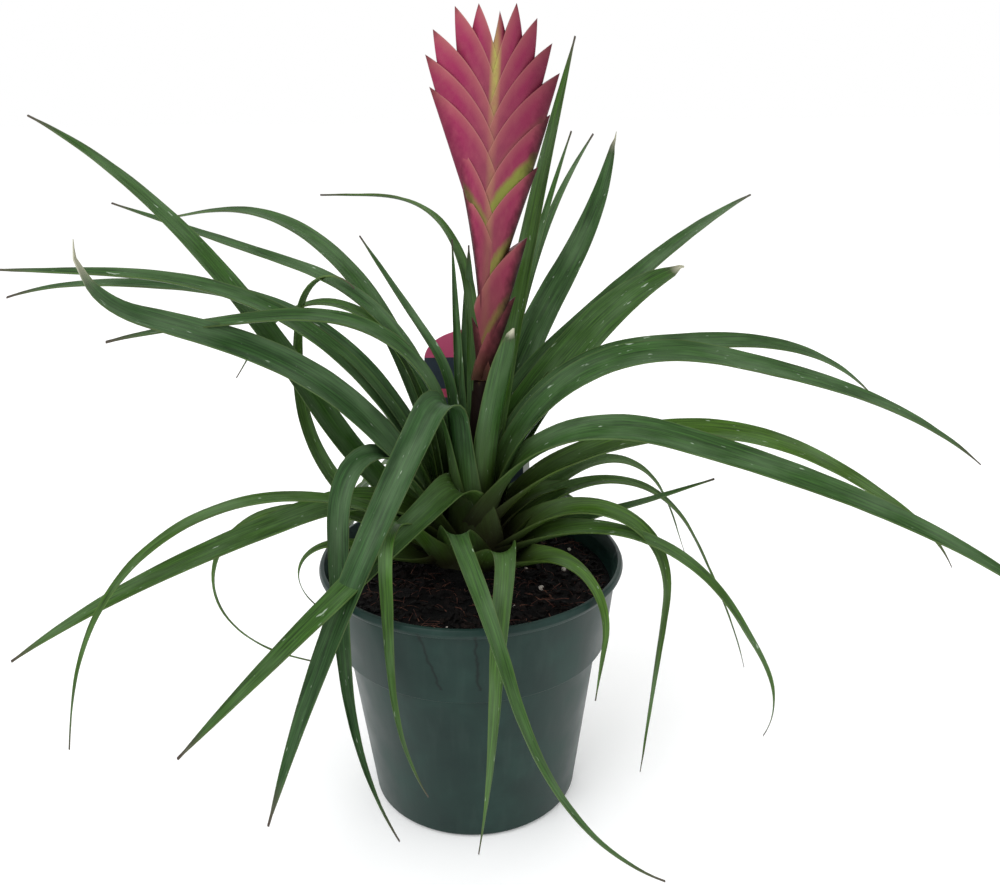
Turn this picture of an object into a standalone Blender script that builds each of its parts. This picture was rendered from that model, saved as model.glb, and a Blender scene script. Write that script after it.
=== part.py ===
"""Potted pink quill: a flowering bromeliad in its nursery pot, with the care card behind it.

Metres, +Z up. The origin is the centre of the pot's flat underside, and -Y is the side that the flat
flower spike faces.
"""

import math
import random
from collections import namedtuple

import bmesh
import bpy
import numpy as np
from mathutils import Matrix, Vector

MM = 0.001
GAP = 0.3 * MM

# Pot: a standard six-inch nursery pot, 152 mm across its lip.
POT_HEIGHT = 131 * MM
LIP_RADIUS = 76 * MM
LIP_DEPTH = 6 * MM
BAND_TOP_RADIUS = 72.5 * MM
BAND_FOOT_RADIUS = 68.4 * MM
BODY_TOP_RADIUS = 64 * MM
BASE_RADIUS = 53 * MM
BAND_FOOT = 89 * MM
POT_WALL = 1.6 * MM
FLOOR_THICKNESS = 2.0 * MM
DRAIN_HOLES = 6
DRAIN_RADIUS = 5 * MM
DRAIN_CIRCLE = 38 * MM
HOLE_SIDES = 12
TURNED_SIDES = 48
BAR_SIDES = 16

# Potting mix: its surface lies 12 mm below the lip, lumpy from LUMPS_FROM outwards.
MIX_LEVEL = 119 * MM
MIX_EDGE_DROP = 1.5 * MM
MIX_ROUGHNESS = 1.4 * MM
MIX_RINGS = (60, 48, 36, 25, 16)
LUMPS_FROM = 20 * MM
MIX_SEED = 12
STEM_RADIUS = 12 * MM
STEM_FOOT = 98 * MM
CROWN_RADIUS = 15 * MM
CROWN_TOP = 168 * MM

# Flower: the stalk leans a little to +X, and the bracts carry on along the same line.
LEAN = math.radians(3.2)
AXIS_FOOT = Vector((1.6 * MM, 0.0, 132 * MM))
STALK_RADIUS = 4.4 * MM
STALK_TOP_RADIUS = 3.9 * MM
STALK_TOP = 222 * MM
SLEEVE_RADIUS = 5.2 * MM
SLEEVE_SLANT = 9 * MM
SPIKE_CORE_RADIUS = 4.3 * MM
SPIKE_CORE_TOP = 366 * MM
SPIKE_HALF_DEPTH = 4.4 * MM
BRACT_LIFT = 3.0 * MM

# Leaves: a cross-section every LEAF_STEP, a bend of one radian counting as BEND_WORTH of length, and
# margins raised above the midrib by CHANNEL times the half width.
LEAF_THICKNESS = 0.9 * MM
LEAF_STEP = 27 * MM
BEND_WORTH = 22 * MM
CHANNEL = 0.42
TILT_SEED = 5
FACE_TO_LIGHT = math.radians(26)
TILT_SPREAD = math.radians(9)
ROOT_CIRCLE = 8 * MM
SHEATH_LENGTH = 80 * MM
SHEATH_WRAP = math.radians(55)
TIP_WIDTH = 1.3 * MM

# Foot of a leaf: each sheath clasps the ones inside it, SHEATH_WRAP to each side, so it is the wider the
# lower its root is below TOP_ROOT. Over its first FOOT_LENGTH the leaf stands out to there from its line,
# and it reaches down by up to FOOT_DROP, or to LOWEST_ROOT.
FOOT_LENGTH = 45 * MM
INNER_GIRTH = 9.5 * MM
GIRTH_GAIN = 0.35
FOOT_DROP = 12 * MM
TOP_ROOT = 150 * MM
LOWEST_ROOT = 134 * MM

# Care card and its stake, leaning back against the far side of the pot.
CARD_WIDTH = 56 * MM
CARD_FOOT = 138 * MM
CARD_TOP = 231 * MM
CARD_CENTRE_X = 5 * MM
CARD_THICKNESS = 0.8 * MM
CARD_ARCH = 16 * MM
STAKE_WIDTH = 16 * MM
STAKE_POINT = 10 * MM
STAKE_TIP = 70 * MM
CARD_Y_AT_TIP = 52 * MM
CARD_TILT = math.radians(6)

# One row for each leaf. azimuth is its direction at the root, in degrees from +X, and swing is how far
# that has turned at the tip. It leaves the stem at the height root, at the slope rise, bends to the slope
# fall between the fractions start and stop of its length, and bends by end more from there to its tip.
# length and width are in millimetres. The others are given where a leaf differs from its kind: roll turns
# the blade further about its own length, turn is how far round the stem its foot stands from the blade's
# azimuth, lap is how much further out its foot stands, and taper is the larger the blunter its tip is.
Leaf = namedtuple(
    "Leaf", "azimuth swing root rise fall start stop end length width roll turn lap taper",
    defaults=(0, 0, 0, 2.5),
)
LEAVES = (
    Leaf(162, 0, 134, 34, 56, 0.00, 0.34, -32, 303, 15),
    Leaf(150, 0, 151, 80, 11, 0.08, 0.60, 0, 288, 9),
    Leaf(140, 0, 139, 72, -11, 0.10, 0.95, 0, 303, 12),
    Leaf(170, 0, 144, 66, 1, 0.10, 0.75, -19, 285, 13, turn=-30),
    Leaf(190, 0, 148, 84, -3, 0.15, 0.74, -8, 231, 13, turn=45),
    Leaf(178, 0, 144, 65, 2, 0.08, 0.88, 0, 272, 14, turn=-30),
    Leaf(195, 0, 141, 61, 20, 0.10, 0.79, 84, 233, 19, turn=15, taper=3.5),
    Leaf(152, 0, 124, 16, 98, 0.08, 0.76, 128, 220, 9),
    Leaf(150, 0, 145, 76, -52, 0.20, 0.95, 0, 224, 8),
    Leaf(129, 0, 141, 87, 38, 0.34, 0.60, 0, 173, 6),
    Leaf(70, 92, 142, 87, -2, 0.38, 0.90, 0, 234, 9),
    Leaf(107, 0, 140, 86, 84, 0.20, 0.80, 0, 146, 6),
    Leaf(85, 0, 140, 86, 84, 0.20, 0.80, 0, 143, 13),
    Leaf(231, 5, 140, 85, -46, 0.23, 0.35, -14, 282, 16, roll=4, turn=21, lap=1),
    Leaf(190, 140, 140, 60, -82, 0.15, 0.45, 30, 266, 11),
    Leaf(230, 0, 141, 86, -18, 0.08, 0.24, -4, 213, 12, roll=-12, turn=50, lap=3),
    Leaf(195, 0, 141, 45, -16, 0.00, 0.40, -16, 229, 13),
    Leaf(200, -2, 139, 33, -80, 0.05, 1.00, 0, 264, 6),
    Leaf(185, 0, 137, 21, -162, 0.20, 1.00, 0, 221, 5),
    Leaf(190, 0, 126, 18, -130, 0.46, 1.00, 0, 110, 4),
    Leaf(218, 110, 126, 45, -92, 0.22, 0.57, 42, 207, 7),
    Leaf(251, 98, 126, 59, -63, 0.00, 0.60, 46, 248, 10),
    Leaf(296, -84, 126, 38, -82, 0.15, 0.60, 4, 209, 10),
    Leaf(319, -5, 124, 28, -98, 0.22, 0.80, 0, 136, 6),
    Leaf(347, 0, 137, 33, -95, 0.08, 0.60, 0, 229, 9),
    Leaf(345, 0, 132, 29, -59, 0.00, 0.75, -56, 214, 8),
    Leaf(15, 0, 131, 44, -64, 0.00, 0.66, -10, 238, 7),
    Leaf(30, 0, 130, 38, -68, 0.10, 0.90, 0, 184, 7),
    Leaf(20, 0, 150, 35, -2, 0.00, 0.60, 0, 62, 5),
    Leaf(5, 0, 139, 9, 16, 0.00, 1.00, 0, 119, 5),
    Leaf(345, 0, 155, 60, -14, 0.00, 0.42, -22, 305, 15, turn=-58, lap=4),
    Leaf(0, 0, 158, 34, -34, 0.00, 0.80, -28, 273, 13, turn=-35, lap=2),
    Leaf(5, 0, 148, 76, -15, 0.00, 0.56, -25, 319, 18, turn=-35),
    Leaf(20, 0, 149, 76, -1, 0.00, 0.50, -44, 290, 14),
    Leaf(43, 0, 149, 81, 25, 0.00, 0.37, -14, 283, 14),
    Leaf(31, 0, 145, 76, 41, 0.00, 0.50, -36, 182, 20, roll=12, taper=5),
    Leaf(55, 0, 147, 62, 37, 0.10, 0.60, 35, 233, 18, turn=18, taper=3.5),
    Leaf(64, 0, 145, 62, 25, 0.20, 1.00, 0, 250, 6),
    Leaf(63, 0, 145, 63, 46, 0.20, 1.00, 0, 221, 6),
    Leaf(48, 0, 150, 75, 67, 0.20, 1.00, 0, 237, 11),
    Leaf(312, 0, 152, 82, 70, 0.20, 1.00, 0, 104, 14, roll=20, taper=9),
    Leaf(44, 0, 128, 38, -82, 0.05, 0.75, 0, 155, 10),
    Leaf(53, 0, 128, 36, -78, 0.05, 0.75, 0, 165, 10),
    Leaf(118, 0, 128, 36, -50, 0.00, 0.70, -25, 225, 13),
    Leaf(127, 0, 128, 30, -75, 0.05, 0.85, 0, 190, 9),
    Leaf(135, 0, 126, 26, -70, 0.05, 0.80, -10, 160, 10),
)

# The stalk's sheathing bracts: side is where the point of each is, and foot and top are heights.
Sleeve = namedtuple("Sleeve", "foot top side")
SLEEVES = (
    Sleeve(140, 186, -1),
    Sleeve(166, 204, 1),
    Sleeve(186, 219, -1),
)

# One row for each bract of the spike, from the lowest up. side is -1 at -X and 1 at +X. tip is the height
# of its point, reach is how far the point stands from the axis, length is how far up the axis the bract
# runs, swell is how much its keel bellies out below the point, and drop is how far below the point its
# margins cross the axis, all in millimetres.
Bract = namedtuple("Bract", "side tip reach length swell drop")
BRACTS = (
    Bract(-1, 253, 6, 30, 0, 17),
    Bract(1, 262, 14, 39, 0, 18),
    Bract(1, 289, 18, 60, 0, 22),
    Bract(-1, 310, 12, 66, -4, 23),
    Bract(1, 320, 21, 68, -4, 25),
    Bract(-1, 336, 20, 70, -6, 36),
    Bract(1, 342, 25, 72, 0, 30),
    Bract(-1, 354, 28, 72, -4, 33),
    Bract(1, 359, 28, 72, 2, 31),
    Bract(-1, 367, 30, 70, 0, 35),
    Bract(1, 371, 24, 68, 3, 33),
    Bract(-1, 377, 27, 68, 6, 37),
    Bract(1, 381, 17, 66, 8, 35),
    Bract(-1, 386, 18, 64, 6, 34),
    Bract(1, 387, 8, 58, 13, 34),
    Bract(-1, 387, 8, 54, 12, 28),
    Bract(1, 384, 1, 46, 10, 20),
)


def clear_scene():
    for old in list(bpy.data.objects):
        bpy.data.objects.remove(old, do_unlink=True)


def material(name, colour, roughness, metallic=0.0):
    made = bpy.data.materials.new(name)
    made.use_nodes = True
    shader = made.node_tree.nodes["Principled BSDF"]
    shader.inputs["Base Color"].default_value = (*colour, 1.0)
    shader.inputs["Roughness"].default_value = roughness
    shader.inputs["Metallic"].default_value = metallic
    return made


def add_object(name, shape, finish=None):
    """Makes an object of a bmesh, which this frees."""
    mesh = bpy.data.meshes.new(name)
    shape.to_mesh(mesh)
    shape.free()
    made = bpy.data.objects.new(name, mesh)
    if finish:
        mesh.materials.append(finish)
    bpy.context.scene.collection.objects.link(made)
    return made


def turn(profile, sides=TURNED_SIDES):
    """A closed (radius, height) profile spun once round Z. Points on the axis meet there."""
    shape = bmesh.new()
    corners = [shape.verts.new((radius, 0.0, height)) for radius, height in profile]
    for here, there in zip(corners, corners[1:] + corners[:1]):
        if here.co.x > 0 or there.co.x > 0:
            shape.edges.new((here, there))
    bmesh.ops.spin(
        shape, geom=shape.verts[:] + shape.edges[:], axis=(0, 0, 1), cent=(0, 0, 0),
        angle=math.tau, steps=sides, use_merge=True,
    )
    bmesh.ops.remove_doubles(shape, verts=shape.verts, dist=1e-6)
    bmesh.ops.recalc_face_normals(shape, faces=shape.faces)
    return shape


def rod(radius, foot, top, sides, top_radius=None):
    """A round bar between two points."""
    along = top - foot
    shape = bmesh.new()
    place = Matrix.Translation((foot + top) / 2) @ along.to_track_quat("Z", "Y").to_matrix().to_4x4()
    bmesh.ops.create_cone(
        shape, cap_ends=True, segments=sides, radius1=radius,
        radius2=radius if top_radius is None else top_radius, depth=along.length, matrix=place,
    )
    return shape


def settle(made):
    """Turns an object's modifiers into plain mesh."""
    graph = bpy.context.evaluated_depsgraph_get()
    mesh = bpy.data.meshes.new_from_object(made.evaluated_get(graph))
    made.modifiers.clear()
    made.data = mesh


def keep_outer_skin(made):
    """Drops loose scraps, and fills hollows that fusing has sealed, by keeping the largest skin alone."""
    shape = bmesh.new()
    shape.from_mesh(made.data)
    unseen = set(shape.faces)
    skins = []
    while unseen:
        first = unseen.pop()
        skin, edge_of_skin = [first], [first]
        while edge_of_skin:
            face = edge_of_skin.pop()
            for edge in face.edges:
                for other in edge.link_faces:
                    if other in unseen:
                        unseen.remove(other)
                        skin.append(other)
                        edge_of_skin.append(other)
        skins.append(skin)
    largest = max(skins, key=lambda skin: sum(face.calc_area() for face in skin))
    spare = [face for skin in skins if skin is not largest for face in skin]
    bmesh.ops.delete(shape, geom=spare, context="FACES")
    shape.to_mesh(made.data)
    shape.free()


def fuse(base, repeats, solver="EXACT"):
    """Joins the repeats to the base with one union, and removes them."""
    group = bpy.data.collections.new(base.name + "_repeats")
    bpy.context.scene.collection.children.link(group)
    for piece in repeats:
        bpy.context.scene.collection.objects.unlink(piece)
        group.objects.link(piece)
    union = base.modifiers.new("Union", "BOOLEAN")
    union.operation = "UNION"
    union.operand_type = "COLLECTION"
    union.collection = group
    union.solver = solver
    settle(base)
    for piece in repeats:
        bpy.data.objects.remove(piece, do_unlink=True)
    bpy.data.collections.remove(group)
    keep_outer_skin(base)


def cut(base, shape):
    """Cuts one shape out of the base."""
    cutter = add_object(base.name + "_cutter", shape)
    cutter.hide_render = True
    cutter.display_type = "WIRE"
    bore = base.modifiers.new("Cut", "BOOLEAN")
    bore.operation = "DIFFERENCE"
    bore.object = cutter
    settle(base)
    bpy.data.objects.remove(cutter, do_unlink=True)


def shade_round(made, angle=math.radians(40)):
    made.data.shade_smooth()
    made.data.set_sharp_from_angle(angle=angle)


def smooth_step(value):
    value = min(max(value, 0.0), 1.0)
    return value * value * (3.0 - 2.0 * value)


def loft(rows):
    """A closed solid through rows of points, each row a ring of the same count."""
    shape = bmesh.new()
    ring = [shape.verts.new(point) for point in rows[0]]
    edges = [shape.edges.new(pair) for pair in zip(ring, ring[1:] + ring[:1])]
    bmesh.ops.contextual_create(shape, geom=edges)
    for row in rows[1:]:
        moved = bmesh.ops.extrude_edge_only(shape, edges=edges)["geom"]
        edges = [item for item in moved if isinstance(item, bmesh.types.BMEdge)]
        after = dict(zip(ring, row))
        fresh = {}
        for item in moved:
            if isinstance(item, bmesh.types.BMVert):
                below = next(e.other_vert(item) for e in item.link_edges if e.other_vert(item) in after)
                item.co = after[below]
                fresh[below] = item
        ring = [fresh[vertex] for vertex in ring]
    bmesh.ops.contextual_create(shape, geom=edges)
    bmesh.ops.recalc_face_normals(shape, faces=shape.faces)
    return shape


def ribbon(rows, thickness):
    """A blade through rows of points: a grid laid along them, cut into triangles and then thickened."""
    shape = bmesh.new()
    across = len(rows[0])
    grid = bmesh.ops.create_grid(shape, x_segments=across - 1, y_segments=len(rows) - 1, size=1.0)
    ordered = sorted(grid["verts"], key=lambda v: (round(v.co.y, 5), round(v.co.x, 5)))
    for vertex, point in zip(ordered, [point for row in rows for point in row]):
        vertex.co = point
    bmesh.ops.triangulate(shape, faces=shape.faces, quad_method="FIXED")
    bmesh.ops.solidify(shape, geom=shape.faces[:], thickness=thickness)
    bmesh.ops.recalc_face_normals(shape, faces=shape.faces)
    return shape


def inner_profile(shift=0.0):
    """The pot's inner wall from its floor up, moved towards the axis by shift."""
    return [
        (BASE_RADIUS - POT_WALL - shift, FLOOR_THICKNESS + shift),
        (BODY_TOP_RADIUS - POT_WALL - shift, BAND_FOOT - 2 * MM),
        (BAND_FOOT_RADIUS - POT_WALL - shift, BAND_FOOT + 2.4 * MM),
        (BAND_TOP_RADIUS - POT_WALL - shift, POT_HEIGHT - LIP_DEPTH),
    ]


def make_pot():
    outer = [
        (0.0, 0.0),
        (BASE_RADIUS - 2 * MM, 0.0),
        (BASE_RADIUS, 2 * MM),
        (BODY_TOP_RADIUS, BAND_FOOT - 1 * MM),
        (BAND_FOOT_RADIUS, BAND_FOOT),
        (BAND_TOP_RADIUS, POT_HEIGHT - LIP_DEPTH),
        (LIP_RADIUS - 0.6 * MM, POT_HEIGHT - 5 * MM),
        (LIP_RADIUS, POT_HEIGHT - 2.5 * MM),
        (LIP_RADIUS - 0.6 * MM, POT_HEIGHT),
        (LIP_RADIUS - 3 * MM, POT_HEIGHT),
    ]
    shape = turn(outer + inner_profile()[::-1] + [(0.0, FLOOR_THICKNESS)])
    pot = add_object("pot", shape, material("pot plastic", (0.022, 0.085, 0.070), 0.42))
    holes = bmesh.new()
    for hole in range(DRAIN_HOLES):
        turned = Matrix.Rotation(math.tau * (hole + 0.4) / DRAIN_HOLES, 4, "Z")
        bmesh.ops.create_cone(
            holes, cap_ends=True, segments=HOLE_SIDES, radius1=DRAIN_RADIUS, radius2=DRAIN_RADIUS,
            depth=5 * FLOOR_THICKNESS, matrix=turned @ Matrix.Translation((DRAIN_CIRCLE, 0, 0)),
        )
    cut(pot, holes)
    shade_round(pot)


def make_potting_mix():
    """The bark mix takes the pot's inner form, with a lumpy top, a hole for the stem and a slot."""
    draw = random.Random(MIX_SEED)
    level = MIX_LEVEL
    wall = inner_profile(GAP)
    (foot_radius, foot_height), (top_radius, top_height) = wall[-2:]
    edge = level - MIX_EDGE_DROP
    rim = foot_radius + (top_radius - foot_radius) * (edge - foot_height) / (top_height - foot_height)
    top_rings = [(rim, edge)] + [(radius * MM, level) for radius in MIX_RINGS]
    profile = [(0.0, FLOOR_THICKNESS + GAP)] + wall[:-1] + top_rings + [(0.0, level)]
    shape = turn(profile)
    for vertex in shape.verts:
        distance = math.hypot(vertex.co.x, vertex.co.y)
        if vertex.co.z > level - 0.1 * MM and distance > LUMPS_FROM:
            vertex.co.z += draw.uniform(-MIX_ROUGHNESS, MIX_ROUGHNESS)
    mix = add_object("potting_mix", shape, material("potting mix", (0.022, 0.012, 0.009), 0.95))
    foot = Vector((0, 0, STEM_FOOT - GAP))
    cut(mix, rod(STEM_RADIUS + GAP, foot, Vector((0, 0, POT_HEIGHT)), BAR_SIDES))
    cut(mix, stake_shape(GAP, POT_HEIGHT))


def girth(leaf):
    """In millimetres: the radius of what a leaf's sheath clasps."""
    return INNER_GIRTH / MM + GIRTH_GAIN * (TOP_ROOT / MM - leaf.root) + leaf.lap


def footing(part, leaf):
    """1 at a leaf's root, falling to 0 where its foot ends."""
    return max(0.0, 1.0 - part * leaf.length * MM / FOOT_LENGTH) ** 2


def foot_shift(part, leaf):
    """In millimetres: how far a leaf's clasping foot stands out and down from the line of the rest."""
    foot = math.radians(leaf.azimuth + leaf.turn)
    spread = girth(leaf) - ROOT_CIRCLE / MM
    drop = min(FOOT_DROP, leaf.root * MM - LOWEST_ROOT) / MM
    return footing(part, leaf) * Vector((spread * math.cos(foot), spread * math.sin(foot), -drop))


def leaf_line(leaf):
    """(point, slope, heading) in millimetres and radians at even steps along the middle of a leaf."""
    steps = 60
    foot = math.radians(leaf.azimuth + leaf.turn)
    place = Vector((ROOT_CIRCLE / MM * math.cos(foot), ROOT_CIRCLE / MM * math.sin(foot), leaf.root))
    places, headings = [place + foot_shift(0.0, leaf)], [foot]
    for step in range(steps):
        part = (step + 0.5) / steps
        bent = smooth_step((part - leaf.start) / (leaf.stop - leaf.start))
        slope = leaf.rise + (leaf.fall - leaf.rise) * bent
        if part > leaf.stop:
            slope += leaf.end * ((part - leaf.stop) / (1.0 - leaf.stop)) ** 1.5
        slope = math.radians(slope)
        heading = math.radians(leaf.azimuth + leaf.swing * part)
        level = math.cos(slope)
        ahead = Vector((level * math.cos(heading), level * math.sin(heading), math.sin(slope)))
        place += ahead * (leaf.length / steps)
        reached = (step + 1) / steps
        places.append(place + foot_shift(reached, leaf))
        headings.append(heading + math.radians(leaf.turn) * footing(reached, leaf))
    line = []
    for step, (place, heading) in enumerate(zip(places, headings)):
        ahead = places[min(step + 1, steps)] - places[max(step - 1, 0)]
        outward = ahead.x * math.cos(heading) + ahead.y * math.sin(heading)
        line.append((place, math.atan2(ahead.z, outward), heading))
    return line


def stations(line, length):
    """Picks indices along a leaf's line, closer together where it bends."""
    travel = [0.0]
    for (_, slope, _), (_, next_slope, _) in zip(line, line[1:]):
        bend = abs(next_slope - slope) * BEND_WORTH / MM
        travel.append(travel[-1] + length / (len(line) - 1) + bend)
    count = max(5, round(travel[-1] * MM / LEAF_STEP))
    picked = {int(np.searchsorted(travel, travel[-1] * part / count - 1e-9)) for part in range(count + 1)}
    return sorted(picked)


def nearness(part, leaf):
    """1 at a leaf's root, falling to 0 where its sheath ends."""
    return max(0.0, 1.0 - part * leaf.length * MM / SHEATH_LENGTH)


def leaf_width(part, leaf):
    """In millimetres: a sheath that clasps the stem, then a strap that is drawn out to a long point."""
    blade = leaf.width * (1.0 - part**leaf.taper) ** 0.85
    near = nearness(part, leaf)
    sheath = 2 * girth(leaf) * math.sin(SHEATH_WRAP)
    return max(TIP_WIDTH / MM, blade + (sheath - blade) * near**1.5)


def make_leaf(leaf, tilt):
    """One channelled blade along its line. tilt rolls it about its own length."""
    line = leaf_line(leaf)
    rows = []
    for index in stations(line, leaf.length):
        centre, slope, heading = line[index]
        part = index / (len(line) - 1)
        half = leaf_width(part, leaf) / 2
        side = Vector((-math.sin(heading), math.cos(heading), 0.0))
        face = Vector(
            (-math.sin(slope) * math.cos(heading), -math.sin(slope) * math.sin(heading), math.cos(slope))
        )
        roll = tilt * min(1.0, part / 0.3)
        side, face = (
            side * math.cos(roll) + face * math.sin(roll),
            face * math.cos(roll) - side * math.sin(roll),
        )
        channel = CHANNEL + (math.tan(SHEATH_WRAP / 2) - CHANNEL) * nearness(part, leaf)
        raised = face * (channel * half / 2)
        margins = [centre - side * half + raised, centre + side * half + raised]
        rows.append([margins[0] * MM, (centre - raised) * MM, margins[1] * MM])
    return add_object("leaf", ribbon(rows, LEAF_THICKNESS))


def axis_point(height):
    """The flower's axis at a height."""
    return Vector((AXIS_FOOT.x + math.tan(LEAN) * (height - AXIS_FOOT.z), AXIS_FOOT.y, height))


def make_rosette():
    """The short stem with all its leaves, and the bore in its heart that the stalk stands in."""
    green = material("leaf", (0.030, 0.090, 0.030), 0.45)
    stem_profile = [
        (0.0, STEM_FOOT),
        (STEM_RADIUS, STEM_FOOT),
        (STEM_RADIUS, MIX_LEVEL + 2 * MM),
        (CROWN_RADIUS, MIX_LEVEL + 14 * MM),
        (CROWN_RADIUS, CROWN_TOP - 14 * MM),
        (SLEEVE_RADIUS + 4 * MM, CROWN_TOP),
        (0.0, CROWN_TOP),
    ]
    rosette = add_object("rosette", turn(stem_profile, BAR_SIDES), green)
    draw = random.Random(TILT_SEED)
    leaves = []
    for leaf in LEAVES:
        turned = FACE_TO_LIGHT * math.cos(math.radians(leaf.azimuth)) + math.radians(leaf.roll)
        leaves.append(make_leaf(leaf, turned + draw.uniform(-TILT_SPREAD, TILT_SPREAD)))
    fuse(rosette, leaves, "MANIFOLD")
    bore_foot, bore_top = axis_point(AXIS_FOOT.z - GAP), axis_point(STALK_TOP + 80 * MM)
    cut(rosette, rod(SLEEVE_RADIUS + GAP, bore_foot, bore_top, BAR_SIDES))
    keep_outer_skin(rosette)
    shade_round(rosette, math.radians(60))


def make_flower_stalk():
    """A round stalk in sheathing bracts, each a close sleeve cut off aslant so that one side is a point."""
    brown = material("stalk", (0.120, 0.075, 0.040), 0.5)
    stalk = add_object(
        "flower_stalk",
        rod(STALK_RADIUS, AXIS_FOOT, axis_point(STALK_TOP), BAR_SIDES, STALK_TOP_RADIUS),
        brown,
    )
    sleeves = []
    for sleeve_bract in SLEEVES:
        side, top = sleeve_bract.side, sleeve_bract.top
        foot_point, top_point = axis_point(sleeve_bract.foot * MM), axis_point(top * MM)
        sleeve = rod(SLEEVE_RADIUS, foot_point, top_point, BAR_SIDES, STALK_RADIUS)
        slant = Vector((-side * 0.9, 0.25, 0.5)).normalized()
        bmesh.ops.bisect_plane(
            sleeve, geom=sleeve.verts[:] + sleeve.edges[:] + sleeve.faces[:],
            plane_co=axis_point(top * MM - SLEEVE_SLANT), plane_no=slant, clear_outer=True,
        )
        bmesh.ops.holes_fill(sleeve, edges=sleeve.edges)
        bmesh.ops.recalc_face_normals(sleeve, faces=sleeve.faces)
        sleeves.append(add_object("sleeve", sleeve))
    fuse(stalk, sleeves)
    shade_round(stalk)


def quadratic(start, bend, stop, part):
    """A point on the curve from start to stop that bend pulls on."""
    return start * (1 - part) ** 2 + bend * (2 * part * (1 - part)) + stop * part**2


def make_bract(bract):
    """A boat-shaped bract, folded along its keel, closed from its front margin to its back one.

    It lies close to the axis at its foot and stands proud of the bracts above it at its point, so that the
    spike is laid like roof tiles from the bottom up.
    """
    foot = bract.tip - bract.length
    point = np.array((bract.reach, bract.length))
    belly = np.array((0.62 * bract.reach + bract.swell, 0.45 * bract.length))
    keel = (np.array((2.0, 0.0)), belly, point)
    low_margin = np.array((-5.0, bract.length - 1.45 * bract.drop))
    margin = (low_margin, np.array((0.02 * bract.reach, bract.length - 0.5 * bract.drop)), point)
    rows = []
    for part in (0.0, 0.2, 0.4, 0.6, 0.78, 0.92, 1.0):
        at_keel, at_margin = quadratic(*keel, part), quadratic(*margin, part)
        span = max(0.8, float(np.linalg.norm(at_margin - at_keel)))
        row = []
        for across in (-1.0, -0.55, -0.18, 0.0, 0.18, 0.55, 1.0):
            share = abs(across)
            out, up = at_keel + (at_margin - at_keel) * share
            if part == 1.0:
                out -= 1.2 * share
            half_depth = SPIKE_HALF_DEPTH / MM * (1.0 - 0.5 * (out / 30.0) ** 2)
            half_depth = min(half_depth + BRACT_LIFT / MM * (part - 0.5), 0.45 * span)
            fullness = min(1.0, share * span / (0.6 * abs(at_keel[0]) + 2.0)) ** 0.5
            thick = math.copysign(half_depth * fullness, across) if share else 0.0
            row.append(axis_point((foot + up) * MM) + Vector((bract.side * out * MM, thick * MM, 0.0)))
        rows.append(row)
    return add_object("bract", loft(rows))


def make_quill():
    """The flat spike: two ranks of bracts on a flattened axis."""
    pink = material("bract", (0.44, 0.075, 0.16), 0.5)
    foot = axis_point(STALK_TOP + GAP)
    top = axis_point(SPIKE_CORE_TOP)
    shape = rod(SPIKE_CORE_RADIUS, foot, top, BAR_SIDES, 0.7 * SPIKE_CORE_RADIUS)
    for vertex in shape.verts:
        vertex.co.y *= 0.8
    quill = add_object("quill_bracts", shape, pink)
    fuse(quill, [make_bract(bract) for bract in BRACTS], "MANIFOLD")
    shade_round(quill)


def stake_shape(grow, top):
    """The card's stake alone up to a height, made larger by grow all round."""
    half = STAKE_WIDTH / 2 + grow
    outline = [
        (-half, STAKE_TIP + STAKE_POINT),
        (0.0, STAKE_TIP - grow),
        (half, STAKE_TIP + STAKE_POINT),
        (half, top),
        (-half, top),
    ]
    return tilted_card(outline, CARD_THICKNESS + 2 * grow)


def tilted_card(outline, thickness):
    """A flat outline of (x, height) given a thickness, then tilted back about the stake's tip."""
    shape = bmesh.new()
    face = shape.faces.new([shape.verts.new((x, -thickness / 2, z)) for x, z in outline])
    moved = bmesh.ops.extrude_face_region(shape, geom=[face])["geom"]
    back = [item for item in moved if isinstance(item, bmesh.types.BMVert)]
    bmesh.ops.translate(shape, vec=(0, thickness, 0), verts=back)
    pivot = Matrix.Translation((CARD_CENTRE_X, CARD_Y_AT_TIP, STAKE_TIP))
    place = pivot @ Matrix.Rotation(-CARD_TILT, 4, "X") @ Matrix.Translation((0, 0, -STAKE_TIP))
    bmesh.ops.transform(shape, matrix=place, verts=shape.verts)
    bmesh.ops.recalc_face_normals(shape, faces=shape.faces)
    return shape


def make_label():
    """A bare plastic care card with an arched top, narrowing to its stake."""
    half = CARD_WIDTH / 2
    stake = STAKE_WIDTH / 2
    outline = [
        (0.0, STAKE_TIP),
        (stake, STAKE_TIP + STAKE_POINT),
        (stake, CARD_FOOT - 8 * MM),
        (half, CARD_FOOT + 6 * MM),
    ]
    for step in range(13):
        angle = math.pi * step / 12
        outline.append((half * math.cos(angle), CARD_TOP - CARD_ARCH * (1.0 - math.sin(angle))))
    outline += [(-x, z) for x, z in outline[1:4][::-1]]
    shape = tilted_card(outline, CARD_THICKNESS)
    add_object("plant_label", shape, material("label card", (0.72, 0.18, 0.32), 0.4))


def main():
    clear_scene()
    make_pot()
    make_potting_mix()
    make_rosette()
    make_flower_stalk()
    make_quill()
    make_label()


main()
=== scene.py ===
# %% [markdown]
# # A potted pink quill
#
# This lesson dresses a bromeliad in flower: a rosette of long arching leaves, a flat pink spike of bracts on
# its stalk, a care card, and the green nursery pot of bark mix that they stand in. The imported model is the
# fixed frame, and everything here is made around it in the same place and at the same size, in metres.

# %% Load the frame
import math
import random
from collections import namedtuple

import bmesh
import bpy
from mathutils import Matrix, Vector, noise


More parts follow.
